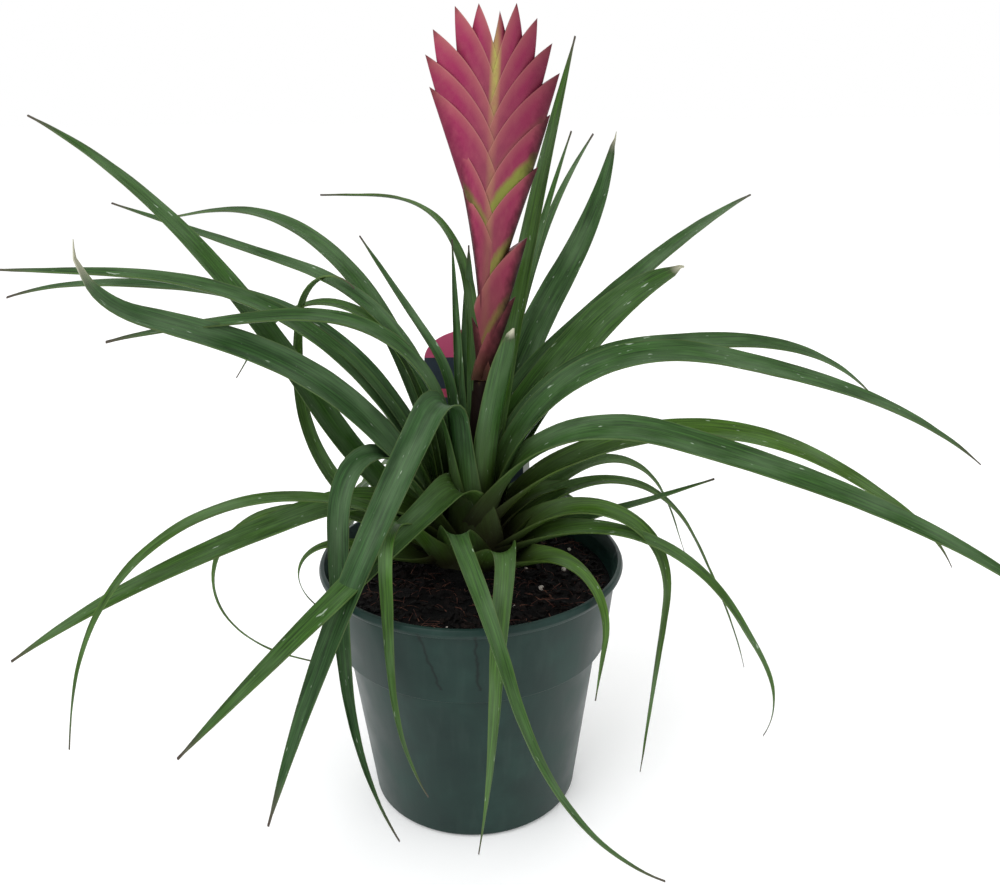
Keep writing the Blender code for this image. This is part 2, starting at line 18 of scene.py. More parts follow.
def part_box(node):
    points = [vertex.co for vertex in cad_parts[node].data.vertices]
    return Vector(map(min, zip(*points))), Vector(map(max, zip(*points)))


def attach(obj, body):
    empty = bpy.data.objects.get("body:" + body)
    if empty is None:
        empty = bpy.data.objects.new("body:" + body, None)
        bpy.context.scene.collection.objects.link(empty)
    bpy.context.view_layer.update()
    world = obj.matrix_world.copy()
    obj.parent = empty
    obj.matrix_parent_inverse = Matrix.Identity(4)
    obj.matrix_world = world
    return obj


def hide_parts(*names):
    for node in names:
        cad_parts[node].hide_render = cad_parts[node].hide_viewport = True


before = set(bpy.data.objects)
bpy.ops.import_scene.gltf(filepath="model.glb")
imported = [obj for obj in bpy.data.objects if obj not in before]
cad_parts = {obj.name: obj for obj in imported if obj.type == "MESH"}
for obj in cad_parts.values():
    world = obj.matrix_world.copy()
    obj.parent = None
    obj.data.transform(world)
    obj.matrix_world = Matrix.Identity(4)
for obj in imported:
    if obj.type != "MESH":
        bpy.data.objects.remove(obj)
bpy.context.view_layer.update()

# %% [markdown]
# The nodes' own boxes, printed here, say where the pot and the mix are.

MM = 0.001
ROOT = "root"

for node in sorted(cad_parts):
    low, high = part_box(node)
    print(node, "from", [round(v / MM) for v in low], "to", [round(v / MM) for v in high], "mm")

# %% [markdown]
# ## Helpers
#
# Colours are written as sRGB hex, as a picture editor shows them. Shaders work on linear light, so one
# function turns each colour into linear values.

# %% Colours


def linear(code):
    """An sRGB hex colour, such as "3f5a36", as linear red, green, blue and a full alpha."""
    values = []
    for start in (0, 2, 4):
        value = int(code[start:start + 2], 16) / 255.0
        values.append(value / 12.92 if value <= 0.04045 else ((value + 0.055) / 1.055) ** 2.4)
    return (*values, 1.0)


print("mid grey is", [round(value, 3) for value in linear("808080")])

# %% [markdown]
# Each material is a small graph of nodes. One function adds a node, sets what it is told to, and links any
# input that is given another node's output. A colour ramp takes its stops as pairs of place and colour. A
# living surface is many thin stains over one another, so its colour is laid on in layers. A noise keeps
# nearly always between a low and a high value, and an uneven gloss runs between those two.

# %% Nodes and materials
NOISE_LOW, NOISE_HIGH = 0.3, 0.7


def add_node(tree, kind, inputs=None, stops=None, **settings):
    """Adds a shader node. inputs maps a socket's name or number to a value or to another node's output."""
    node = tree.nodes.new("ShaderNode" + kind)
    for name, value in settings.items():
        setattr(node, name, value)
    if stops:
        points = node.color_ramp.elements
        while len(points) < len(stops):
            points.new(1.0)
        for point, (place, colour) in zip(points, stops):
            point.position = place
            point.color = linear(colour)
    for socket, value in (inputs or {}).items():
        if isinstance(value, bpy.types.NodeSocket):
            tree.links.new(value, node.inputs[socket])
        else:
            node.inputs[socket].default_value = value
    return node


def new_material(name, **sockets):
    """A material with a Principled shader whose named sockets are set, and its node tree."""
    made = bpy.data.materials.new(name)
    made.use_nodes = True
    shader = made.node_tree.nodes["Principled BSDF"]
    for socket, value in sockets.items():
        shader.inputs[socket.replace("_", " ")].default_value = value
    return made, made.node_tree, shader


def lay_over(tree, skin, layers):
    """Lays colours over a skin. A layer is (value, low, high, share at low, share at high, colour)."""
    for value, low, high, at_low, at_high, colour in layers:
        share = add_node(tree, "MapRange", {
            "Value": value, "From Min": low, "From Max": high, "To Min": at_low, "To Max": at_high,
        })
        skin = add_node(tree, "Mix", {
            "Factor": share.outputs["Result"], "A": skin, "B": linear(colour),
        }, data_type="RGBA").outputs["Result"]
    return skin


def drawn_noise(tree, place, stretch, scale, detail, roughness=0.5):
    """The value of a noise whose grains are drawn out along the axes where stretch is small."""
    drawn = add_node(tree, "Mapping", {"Vector": place, "Scale": stretch})
    return add_node(tree, "TexNoise", {
        "Vector": drawn.outputs["Vector"], "Scale": scale, "Detail": detail, "Roughness": roughness,
    }).outputs["Fac"]


def finish_skin(tree, shader, colour, height, strength, depth, gloss=None):
    """Links a colour and the relief of a height to a material's shader, and an uneven roughness.

    gloss is (noise, roughness where the noise is low, roughness where it is high)."""
    relief = add_node(tree, "Bump", {"Height": height, "Strength": strength, "Distance": depth})
    tree.links.new(colour, shader.inputs["Base Color"])
    tree.links.new(relief.outputs["Normal"], shader.inputs["Normal"])
    if gloss:
        value, glossy, dull = gloss
        rough = add_node(tree, "MapRange", {
            "Value": value, "From Min": NOISE_LOW, "From Max": NOISE_HIGH, "To Min": glossy, "To Max": dull,
        })
        tree.links.new(rough.outputs["Result"], shader.inputs["Roughness"])


print("helpers for materials are ready")

# %% [markdown]
# A finished piece is one object at the origin whose place is in its mesh. These helpers make an object of a
# bmesh, pour one bmesh into another, and finish a piece: it is shaded smooth but for creases sharper than an
# angle, and rides on the only body, "root". A turned piece is spun from its profile.

# %% From bmesh to piece


def as_object(name, shape):
    """Makes an object of a bmesh, puts it in the scene and frees the bmesh."""
    mesh = bpy.data.meshes.new(name)
    shape.to_mesh(mesh)
    shape.free()
    made = bpy.data.objects.new(name, mesh)
    bpy.context.scene.collection.objects.link(made)
    return made


def pour(part, whole):
    """Adds a bmesh and its attributes to another, and frees it."""
    mesh = bpy.data.meshes.new("part")
    part.to_mesh(mesh)
    part.free()
    whole.from_mesh(mesh)
    bpy.data.meshes.remove(mesh)


def finish_piece(name, shape, finish, crease, replaces=None):
    """Makes a piece of a bmesh and rides it on the root body. crease is in degrees."""
    piece = as_object(name, shape)
    mesh = piece.data
    mesh.materials.append(finish)
    mesh.shade_smooth()
    mesh.set_sharp_from_angle(angle=math.radians(crease))
    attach(piece, ROOT)
    if replaces:
        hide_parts(replaces)
    triangles = sum(len(polygon.vertices) - 2 for polygon in mesh.polygons)
    print(name, "has", triangles, "triangles")
    return piece


def spun(profile, sides):
    """A closed (radius, height) profile turned once round Z, its points on the axis merged."""
    shape = bmesh.new()
    corners = [shape.verts.new((radius, 0.0, height)) for radius, height in profile]
    for here, there in zip(corners, corners[1:] + corners[:1]):
        if here.co.x > 0 or there.co.x > 0:
            shape.edges.new((here, there))
    bmesh.ops.spin(
        shape, geom=shape.verts[:] + shape.edges[:], axis=(0, 0, 1), cent=(0, 0, 0),
        angle=math.tau, steps=sides, use_merge=True,
    )
    bmesh.ops.remove_doubles(shape, verts=shape.verts, dist=1e-6)
    bmesh.ops.recalc_face_normals(shape, faces=shape.faces)
    return shape


def smooth_step(value):
    """0 below 0, 1 above 1, and an even rise between them that starts and ends gently."""
    value = min(max(value, 0.0), 1.0)
    return value * value * (3.0 - 2.0 * value)


print("helpers for shapes are ready")

# %% [markdown]
# ## Camera and studio
#
# The camera stands where the photograph was taken from: about 60 cm away, looking 20 degrees down. Its place
# was found by fitting the ellipses of the pot's lip and foot, and it is set first, so that each new piece can
# be looked at as it is made.

# %% Camera
CAMERA_PLACE = Vector((0.0, -0.477, 0.366))
CAMERA_DOWN = math.radians(20.2)
CAMERA_YAW = math.radians(1.8)
CAMERA_ROLL = math.radians(-0.56)
FOCAL_LENGTH = 37.8
SENSOR_WIDTH = 36.0
NEAREST_SEEN = 0.01

heading = Matrix.Rotation(-CAMERA_YAW, 4, "Z")
pitch = Matrix.Rotation(math.pi / 2 - CAMERA_DOWN, 4, "X")
turn_to_view = heading @ pitch @ Matrix.Rotation(CAMERA_ROLL, 4, "Z")

lens = bpy.data.cameras.new("camera")
lens.lens = FOCAL_LENGTH
lens.sensor_width = SENSOR_WIDTH
lens.clip_start = NEAREST_SEEN
camera = bpy.data.objects.new("camera", lens)
camera.matrix_world = Matrix.Translation(CAMERA_PLACE) @ turn_to_view
bpy.context.scene.collection.objects.link(camera)
bpy.context.scene.camera = camera
print("the camera stands", round(CAMERA_PLACE.length, 3), "m from the pot's foot")

# %% [markdown]
# The plant was photographed against plain white. A wide floor that is nearly white, and that glows a very
# little by itself, runs on into the white of the world, so that no horizon shows and the pot keeps its soft
# shadow.

# %% Floor
FLOOR_HALF = 6.0
FLOOR_GLOW = 0.12

floor_finish, _, floor_shader = new_material("matt studio paper", Roughness=1.0, Specular_IOR_Level=0.0)
floor_shader.inputs["Base Color"].default_value = linear("f3f3f3")
floor_shader.inputs["Emission Color"].default_value = linear("ffffff")
floor_shader.inputs["Emission Strength"].default_value = FLOOR_GLOW
paper = bmesh.new()
bmesh.ops.create_grid(paper, x_segments=8, y_segments=8, size=FLOOR_HALF)
floor = as_object("floor", paper)
floor.data.materials.append(floor_finish)
print("the floor is", 2 * FLOOR_HALF, "m wide")

# %% [markdown]
# Soft light comes from a large lamp high in front and to the left, as from a window, with a weaker one from
# the right and one behind that lights the rims of the leaves. The white world does most of the lighting, so
# the lamps are weak: they only give the forms a side. The picture's tones are kept as the colours say, with
# the Standard view.

# %% Lights
Lamp = namedtuple("Lamp", "name place size power colour")
LAMPS = (
    Lamp("window light", (-0.75, -0.85, 1.35), 1.1, 12.0, "fbfdff"),
    Lamp("fill light", (1.1, -0.7, 0.8), 1.0, 2.0, "f6faff"),
    Lamp("rim light", (0.2, 1.1, 1.1), 1.0, 4.0, "ffffff"),
)
LOOK_AT = Vector((0.0, 0.0, 0.17))

for lamp in LAMPS:
    glow = bpy.data.lights.new(lamp.name, "AREA")
    glow.energy = lamp.power
    glow.size = lamp.size
    glow.color = linear(lamp.colour)[:3]
    holder = bpy.data.objects.new(lamp.name, glow)
    aim = (LOOK_AT - Vector(lamp.place)).to_track_quat("-Z", "Y").to_matrix().to_4x4()
    holder.matrix_world = Matrix.Translation(lamp.place) @ aim
    bpy.context.scene.collection.objects.link(holder)

world = bpy.data.worlds.new("pale studio")
world.use_nodes = True
sky = world.node_tree.nodes["Background"]
sky.inputs["Color"].default_value = linear("ffffff")
sky.inputs["Strength"].default_value = 1.0
bpy.context.scene.world = world
bpy.context.scene.view_settings.view_transform = "Standard"
print(len(LAMPS), "lamps are hung")

# %% [markdown]
# ## The pot
#
# A nursery pot is injection-moulded polypropylene, 152 mm across its rolled lip. Its wall is thin, a deep
# band under the lip stiffens it, and a step runs round where the band ends. One profile, turned round the
# axis, gives all of it, and the rings where the profile turns a corner are then bevelled, because a mould
# leaves no sharp edge. The six drain holes are cut last, all with one cutter.

# %% Sizes of the pot
POT_HEIGHT = 131 * MM
LIP_RADIUS = 76 * MM
LIP_DEPTH = 6 * MM
LIP_TOP_RADIUS = LIP_RADIUS - 2.6 * MM
LIP_EDGE = POT_HEIGHT - 2.5 * MM
LIP_ROUND_DEPTH = 0.9 * MM
LIP_ROUND_HALF = 2.1 * MM
BAND_TOP_RADIUS = 72.5 * MM
BAND_FOOT_RADIUS = 68.4 * MM
BODY_TOP_RADIUS = 64 * MM
BASE_RADIUS = 53 * MM
BASE_ROUND = 2 * MM
BAND_FOOT = 89 * MM
STEP_RISE = 1 * MM
INNER_STEP_FOOT = BAND_FOOT - 2 * MM
INNER_STEP_TOP = BAND_FOOT + 2.4 * MM
POT_WALL = 1.6 * MM
FLOOR_THICKNESS = 2.0 * MM
DRAIN_HOLES = 6
DRAIN_RADIUS = 5 * MM
DRAIN_CIRCLE = 38 * MM
POT_SIDES = 160

pot_outside = [
    (0.0, 0.0),
    (BASE_RADIUS - BASE_ROUND, 0.0),
    (BASE_RADIUS, BASE_ROUND),
    (BODY_TOP_RADIUS, BAND_FOOT - STEP_RISE),
    (BAND_FOOT_RADIUS, BAND_FOOT),
    (BAND_TOP_RADIUS, POT_HEIGHT - LIP_DEPTH),
    (LIP_RADIUS - LIP_ROUND_DEPTH, LIP_EDGE - LIP_ROUND_HALF),
    (LIP_RADIUS, LIP_EDGE),
    (LIP_RADIUS - LIP_ROUND_DEPTH, LIP_EDGE + LIP_ROUND_HALF),
    (LIP_TOP_RADIUS, POT_HEIGHT),
]
pot_inside = [
    (BASE_RADIUS - POT_WALL, FLOOR_THICKNESS),
    (BODY_TOP_RADIUS - POT_WALL, INNER_STEP_FOOT),
    (BAND_FOOT_RADIUS - POT_WALL, INNER_STEP_TOP),
    (BAND_TOP_RADIUS - POT_WALL, POT_HEIGHT - LIP_DEPTH),
]
print("the pot is", POT_HEIGHT / MM, "mm tall and", 2 * LIP_RADIUS / MM, "mm wide")

# %% [markdown]
# Moulded polypropylene this dark looks almost black-green in the shade and milky where light grazes it, so
# the colour stays dark and the gloss is broad. Dust, faint scuffs and the fine flow marks of the mould break
# the gloss up, and water has run down the band in two places. The clouding and the grain are drawn by noise
# in object space, at the size of the real marks: a few millimetres for the clouding, under one for the grain.
# A streak is a dark band of given width round a slanting, wavering line on the front.

# %% Finish of the pot
Streak = namedtuple("Streak", "x height lean")
STREAKS = (
    Streak(-20 * MM, 112 * MM, -0.30),
    Streak(1.5 * MM, 112 * MM, -0.05),
)
STREAK_HALF = 1.1 * MM
STREAK_REACH = 16 * MM
STREAK_SWAY = 4 * MM
STREAK_BENDS = 6 * MM
STREAK_DEPTH = 0.75
DUST = 0.0194


def streak_share(tree, place, streak):
    """A socket that is 1 on a streak's line and 0 away from it, below its ends and behind the pot."""
    parts = add_node(tree, "SeparateXYZ", {"Vector": place})
    level = add_node(tree, "Math", {0: parts.outputs["Z"], 1: streak.height}, operation="SUBTRACT")
    slant = add_node(tree, "Math", {0: level.outputs[0], 1: streak.lean}, operation="MULTIPLY")
    offset = add_node(tree, "Math", {0: parts.outputs["X"], 1: slant.outputs[0]}, operation="SUBTRACT")
    bends = add_node(tree, "TexNoise", {"Vector": place, "Scale": 1 / STREAK_BENDS, "Detail": 2.0})
    sway = add_node(tree, "Math", {
        0: bends.outputs["Fac"], 1: STREAK_SWAY, 2: streak.x - STREAK_SWAY / 2,
    }, operation="MULTIPLY_ADD")
    away = add_node(tree, "Math", {0: offset.outputs[0], 1: sway.outputs[0]}, operation="SUBTRACT")
    away = add_node(tree, "Math", {0: away.outputs[0]}, operation="ABSOLUTE")
    line = add_node(tree, "MapRange", {
        "Value": away.outputs[0], "From Min": 0.0, "From Max": STREAK_HALF, "To Min": 1.0, "To Max": 0.0,
    })
    ends = add_node(tree, "Math", {0: level.outputs[0], 1: 0.0, 2: STREAK_REACH}, operation="COMPARE")
    front = add_node(tree, "Math", {0: parts.outputs["Y"], 1: 0.0}, operation="LESS_THAN")
    both = add_node(tree, "Math", {0: line.outputs[0], 1: ends.outputs[0]}, operation="MULTIPLY")
    return add_node(tree, "Math", {0: both.outputs[0], 1: front.outputs[0]}, operation="MULTIPLY").outputs[0]


def make_pot_plastic():
    made, tree, shader = new_material("moulded polypropylene", IOR=1.49, Specular_IOR_Level=0.17)
    place = add_node(tree, "TexCoord").outputs["Object"]
    clouds, grain = (
        add_node(tree, "TexNoise", {"Vector": place, "Scale": 1 / size, "Detail": detail}).outputs["Fac"]
        for size, detail in ((22 * MM, 4.0), (0.9 * MM, 3.0))
    )
    drips = drawn_noise(tree, place, (1.0, 1.0, 0.12), 1 / (5 * MM), 3.0)
    tone = add_node(tree, "ValToRGB", {"Fac": clouds}, stops=[
        (0.30, "132824"), (0.52, "182e29"), (0.72, "1f3731"),
    ])
    layers = [(drips, 0.52, 0.80, 0.0, DUST, "8fa39b")]
    for streak in STREAKS:
        layers.append((streak_share(tree, place, streak), 0.0, 1.0, 0.0, STREAK_DEPTH, "060d0b"))
    skin = lay_over(tree, tone.outputs["Color"], layers)
    finish_skin(tree, shader, skin, grain, 0.25, 0.06 * MM, (clouds, 0.32, 0.46))
    return made


pot_plastic = make_pot_plastic()
print("made", pot_plastic.name)

# %% [markdown]
# The bevel picks the edges by what they are: those that run round the pot at one height and where the two
# faces meet at more than 12 degrees.

# %% Turn the pot
CORNER_ANGLE = math.radians(12)
CORNER_RADIUS = 0.45 * MM
SAME = 1e-7
HOLE_TURN = 0.4


def cut_out(piece, cutter_shape):
    """Cuts a bmesh out of a piece and leaves plain mesh."""
    cutter = as_object("cutter", cutter_shape)
    bore = piece.modifiers.new("Cut", "BOOLEAN")
    bore.operation = "DIFFERENCE"
    bore.object = cutter
    graph = bpy.context.evaluated_depsgraph_get()
    result = bpy.data.meshes.new_from_object(piece.evaluated_get(graph))
    piece.modifiers.clear()
    piece.data = result
    bpy.data.objects.remove(cutter, do_unlink=True)


pot_shape = spun(pot_outside + pot_inside[::-1] + [(0.0, FLOOR_THICKNESS)], POT_SIDES)
corners = [
    edge for edge in pot_shape.edges
    if abs(edge.verts[0].co.z - edge.verts[1].co.z) < SAME
    and abs(edge.verts[0].co.xy.length - edge.verts[1].co.xy.length) < SAME
    and edge.calc_face_angle(0.0) > CORNER_ANGLE
]
bmesh.ops.bevel(
    pot_shape, geom=corners, offset=CORNER_RADIUS, segments=3, profile=0.5, affect="EDGES", material=-1,
    clamp_overlap=True,
)
pot_piece = finish_piece("pot_shell", pot_shape, pot_plastic, 30, "pot")
drills = bmesh.new()
for hole in range(DRAIN_HOLES):
    turned = Matrix.Rotation(math.tau * (hole + HOLE_TURN) / DRAIN_HOLES, 4, "Z")
    bmesh.ops.create_cone(
        drills, cap_ends=True, segments=32, radius1=DRAIN_RADIUS, radius2=DRAIN_RADIUS,
        depth=5 * FLOOR_THICKNESS, matrix=turned @ Matrix.Translation((DRAIN_CIRCLE, 0, 0)),
    )
cut_out(pot_piece, drills)
print("the pot has", DRAIN_HOLES, "drain holes")

# %% [markdown]
# ## The potting mix
#
# Bromeliads are grown in an open mix of composted bark, with coarse reddish fibres and a few white grains of
# perlite. A bumpy disc gives its lie, and hundreds of small chips, fibres and grains on it give the surface
# that the eye knows as bark. The disc is turned like the pot and then raised and lowered by noise. The whole
# body is closed down to the pot's floor, as it is in the real pot, and is made GAP smaller than its inside.

# %% Body of the mix
GAP = 0.3 * MM
MIX_LEVEL = 119 * MM
MIX_SIDES = 96
MIX_RING_STEP = 2.2 * MM
LUMP_WIDTH = 9 * MM
LUMP_HEIGHT = 1.44 * MM
LUMP_SLICE = 3.7
CRUMBS_PER_LUMP = 2.3
SINKS_FROM = 50 * MM
SINKS_OVER = 20 * MM
SINKS_BY = 1.5 * MM

wall = [(radius - GAP, height + (GAP if height == FLOOR_THICKNESS else 0.0)) for radius, height in pot_inside]
(foot_radius, foot_height), (top_radius, top_height) = wall[-2:]
mix_edge = foot_radius + (top_radius - foot_radius) * (MIX_LEVEL - foot_height) / (top_height - foot_height)
rings = int((mix_edge - 2 * MM) / MIX_RING_STEP)
mix_profile = [(0.0, FLOOR_THICKNESS + GAP)] + wall[:-1]
mix_profile += [(mix_edge - ring * MIX_RING_STEP, MIX_LEVEL) for ring in range(rings)]
mix_profile += [(0.0, MIX_LEVEL)]


def mix_height(x, y):
    """Height of the mix's surface: lumps of a few millimetres, sinking a little at the wall."""
    spot = Vector((x / LUMP_WIDTH, y / LUMP_WIDTH, LUMP_SLICE))
    lumps = noise.noise(spot) + 0.5 * noise.noise(spot * CRUMBS_PER_LUMP)
    edge = max(0.0, (math.hypot(x, y) - SINKS_FROM) / SINKS_OVER)
    return MIX_LEVEL + LUMP_HEIGHT * lumps - SINKS_BY * edge


mix_shape = spun(mix_profile, MIX_SIDES)
for vertex in mix_shape.verts:
    if vertex.co.z > MIX_LEVEL - 0.1 * MM:
        vertex.co.z = mix_height(vertex.co.x, vertex.co.y)
print("the mix is", round(2 * mix_edge / MM), "mm across at the top")

# %% [markdown]
# Moist bark is nearly black, with brown and rust where it has dried, and it is dull. Patches of a few
# millimetres drive the colour, and a crumb of about one millimetre drives the bump.

# %% Finish of the mix


def make_bark(name, stops, roughness):
    made, tree, shader = new_material(name, Roughness=roughness, IOR=1.45, Specular_IOR_Level=0.2)
    place = add_node(tree, "TexCoord").outputs["Object"]
    patches = add_node(tree, "TexNoise", {"Vector": place, "Scale": 1 / (7 * MM), "Detail": 6.0})
    crumb = add_node(tree, "TexVoronoi", {"Vector": place, "Scale": 1 / (1.3 * MM)})
    tone = add_node(tree, "ValToRGB", {"Fac": patches.outputs["Fac"]}, stops=stops)
    finish_skin(tree, shader, tone.outputs["Color"], crumb.outputs["Distance"], 0.7, 0.5 * MM)
    return made


moist_bark = make_bark("moist composted bark", [(0.35, "030303"), (0.55, "050404"), (0.75, "0b0807")], 0.95)
bark_chip = make_bark("bark chips", [(0.30, "050404"), (0.50, "0b0807"), (0.72, "1e130f")], 0.85)
finish_piece("potting_mix_body", mix_shape, moist_bark, 80, "potting_mix")

# %% [markdown]
# Chips are flat slivers a few millimetres long. Each is a cube, stretched and turned at random, with its
# corners pushed about. Hundreds of them are needed, so each has only six faces.

# %% Bark chips
CHIPS = 900
CHIP_SEED = 21
CHIP_LENGTHS, CHIP_WIDTHS, CHIP_THICKNESSES = (2.0, 6.5), (1.0, 3.0), (0.4, 1.2)
CHIP_TILT = 0.35
CHIP_KNOCK = (0.35, 0.35, 0.2)
CHIP_LIFT = Vector((0, 0, 0.3 * MM))
BITS_FROM = 12 * MM
BITS_TO = 66 * MM


def spot_on_mix(draw):
    """A random place on the mix, even over its area."""
    radius = math.sqrt(draw.uniform(BITS_FROM * BITS_FROM, BITS_TO * BITS_TO))
    angle = draw.uniform(0.0, math.tau)
    x, y = radius * math.cos(angle), radius * math.sin(angle)
    return Vector((x, y, mix_height(x, y)))


draw = random.Random(CHIP_SEED)
chips = bmesh.new()
for _ in range(CHIPS):
    size = [draw.uniform(*sizes) * MM for sizes in (CHIP_LENGTHS, CHIP_WIDTHS, CHIP_THICKNESSES)]
    lie = Matrix.Rotation(draw.uniform(0, math.tau), 4, "Z")
    for axis in ("Y", "X"):
        lie = lie @ Matrix.Rotation(draw.gauss(0, CHIP_TILT), 4, axis)
    place = Matrix.Translation(spot_on_mix(draw) + CHIP_LIFT) @ lie @ Matrix.Diagonal((*size, 1.0))
    added = bmesh.ops.create_cube(chips, size=1.0, matrix=place)["verts"]
    for vertex in added:
        vertex.co += Vector([draw.gauss(0, knock) for knock in CHIP_KNOCK]) * MM
finish_piece("bark_chips", chips, bark_chip, 20)

# %% [markdown]
# Fibres are rust-brown threads that curl through the mix. A thread starts as a short three-cornered tube,
# cut into rings along its length, and its rings are then moved onto a random curve.

# %% Bark fibres
FIBRES = 420
FIBRE_SEED = 8
FIBRE_RINGS = 5
FIBRE_LENGTHS, FIBRE_RADII = (5.0, 13.0), (0.12, 0.3)
FIBRE_CURLS, FIBRE_KINKS, FIBRE_DROOPS = (-0.5, 0.5), (-0.6, 0.6), (-0.15, 0.1)
FIBRE_RISE = 0.09
FIBRE_BEND = 0.5

rust_fibre = make_bark("dry bark fibre", [(0.30, "2a1815"), (0.50, "4e3129"), (0.72, "7a5748")], 0.8)
draw = random.Random(FIBRE_SEED)
fibres = bmesh.new()
for _ in range(FIBRES):
    length, thickness = (draw.uniform(*sizes) * MM for sizes in (FIBRE_LENGTHS, FIBRE_RADII))
    rod = bmesh.new()
    bmesh.ops.create_cone(
        rod, cap_ends=True, segments=3, radius1=thickness, radius2=thickness * 0.5, depth=length,
        matrix=Matrix.Rotation(math.pi / 2, 4, "Y"),
    )
    long_edges = [edge for edge in rod.edges if edge.calc_length() > length * 0.9]
    bmesh.ops.bisect_edges(rod, edges=long_edges, cuts=FIBRE_RINGS, edge_percents={})
    curl, kink, droop = (draw.uniform(*shares) for shares in (FIBRE_CURLS, FIBRE_KINKS, FIBRE_DROOPS))
    for vertex in rod.verts:
        part = vertex.co.x / length
        vertex.co.y += length * (curl * part**2 + kink * part**3)
        vertex.co.z += length * (FIBRE_RISE - droop * part - FIBRE_BEND * part**2)
    heading = Matrix.Rotation(draw.uniform(0, math.tau), 4, "Z")
    place = Matrix.Translation(spot_on_mix(draw)) @ heading
    bmesh.ops.connect_verts_concave(rod, faces=rod.faces)
    bmesh.ops.transform(rod, matrix=place, verts=rod.verts)
    pour(rod, fibres)
finish_piece("bark_fibres", fibres, rust_fibre, 80)

# %% [markdown]
# Perlite is popped volcanic glass: light, white, rounded crumbs of one to three millimetres, here a little
# soiled. A subdivided ball with its points moved by noise has the same knobbly look. A spot is (x, y, radius)
# in millimetres.

# %% Perlite
PERLITE_SHOWS = 0.4
PERLITE_KNOB = 0.7 * MM
PERLITE_KNOB_HEIGHT = 0.35
PERLITE_SPOTS = (
    (34, -18, 1.5), (47, 4, 1.2), (1, -62, 1.3), (36, -47, 1.2), (28, 6, 0.9), (-38, -40, 0.8), (52, 26, 1.0),
    (-50, 14, 1.1), (12, 50, 1.3), (-20, 44, 1.0), (20, -34, 0.7), (-12, -50, 0.6), (58, -12, 0.8),
)

perlite_finish, perlite_tree, perlite_shader = new_material("expanded perlite", Roughness=0.9)
spots = add_node(perlite_tree, "TexCoord").outputs["Object"]
pits = add_node(perlite_tree, "TexNoise", {"Vector": spots, "Scale": 1 / (0.6 * MM), "Detail": 2.0})
dirt = add_node(perlite_tree, "ValToRGB", {"Fac": pits.outputs["Fac"]}, stops=[
    (0.35, "8a7f74"), (0.6, "d8d2c8"),
])
perlite_tree.links.new(dirt.outputs["Color"], perlite_shader.inputs["Base Color"])
perlite = bmesh.new()
for x, y, radius in PERLITE_SPOTS:
    centre = Vector((x * MM, y * MM, mix_height(x * MM, y * MM) + PERLITE_SHOWS * radius * MM))
    grain = bmesh.ops.create_icosphere(perlite, subdivisions=2, radius=radius * MM)["verts"]
    for vertex in grain:
        bump = noise.noise(vertex.co / PERLITE_KNOB + Vector((x, y, 0.0)))
        vertex.co = vertex.co * (1.0 + PERLITE_KNOB_HEIGHT * bump) + centre
finish_piece("perlite_grains", perlite, perlite_finish, 60)

# %% [markdown]
# ## The leaves
#
# Every leaf starts as a broad sheath that clasps the sheaths inside it, narrows into a long channelled strap
# and ends in a drawn-out point. A row of the table gives one leaf: azimuth is its direction at the root, in
# degrees from +X, and swing is how far that has turned at the tip. It leaves the stem at the height root and
# at the slope rise, bends to the slope fall between the fractions start and stop of its length, and bends by
# end more from there to its tip. length and width are in millimetres. hue runs from 0 for a young blue-green
# leaf to 1 for an old yellow-green one.
#
# The rest is given only where a leaf differs from its kind: roll turns the blade further about its own
# length, turn is how far round the stem its foot stands from the blade's azimuth, lap is how much further out
# its foot stands, taper is the larger the blunter its tip is, and dry is the share of it that has withered.

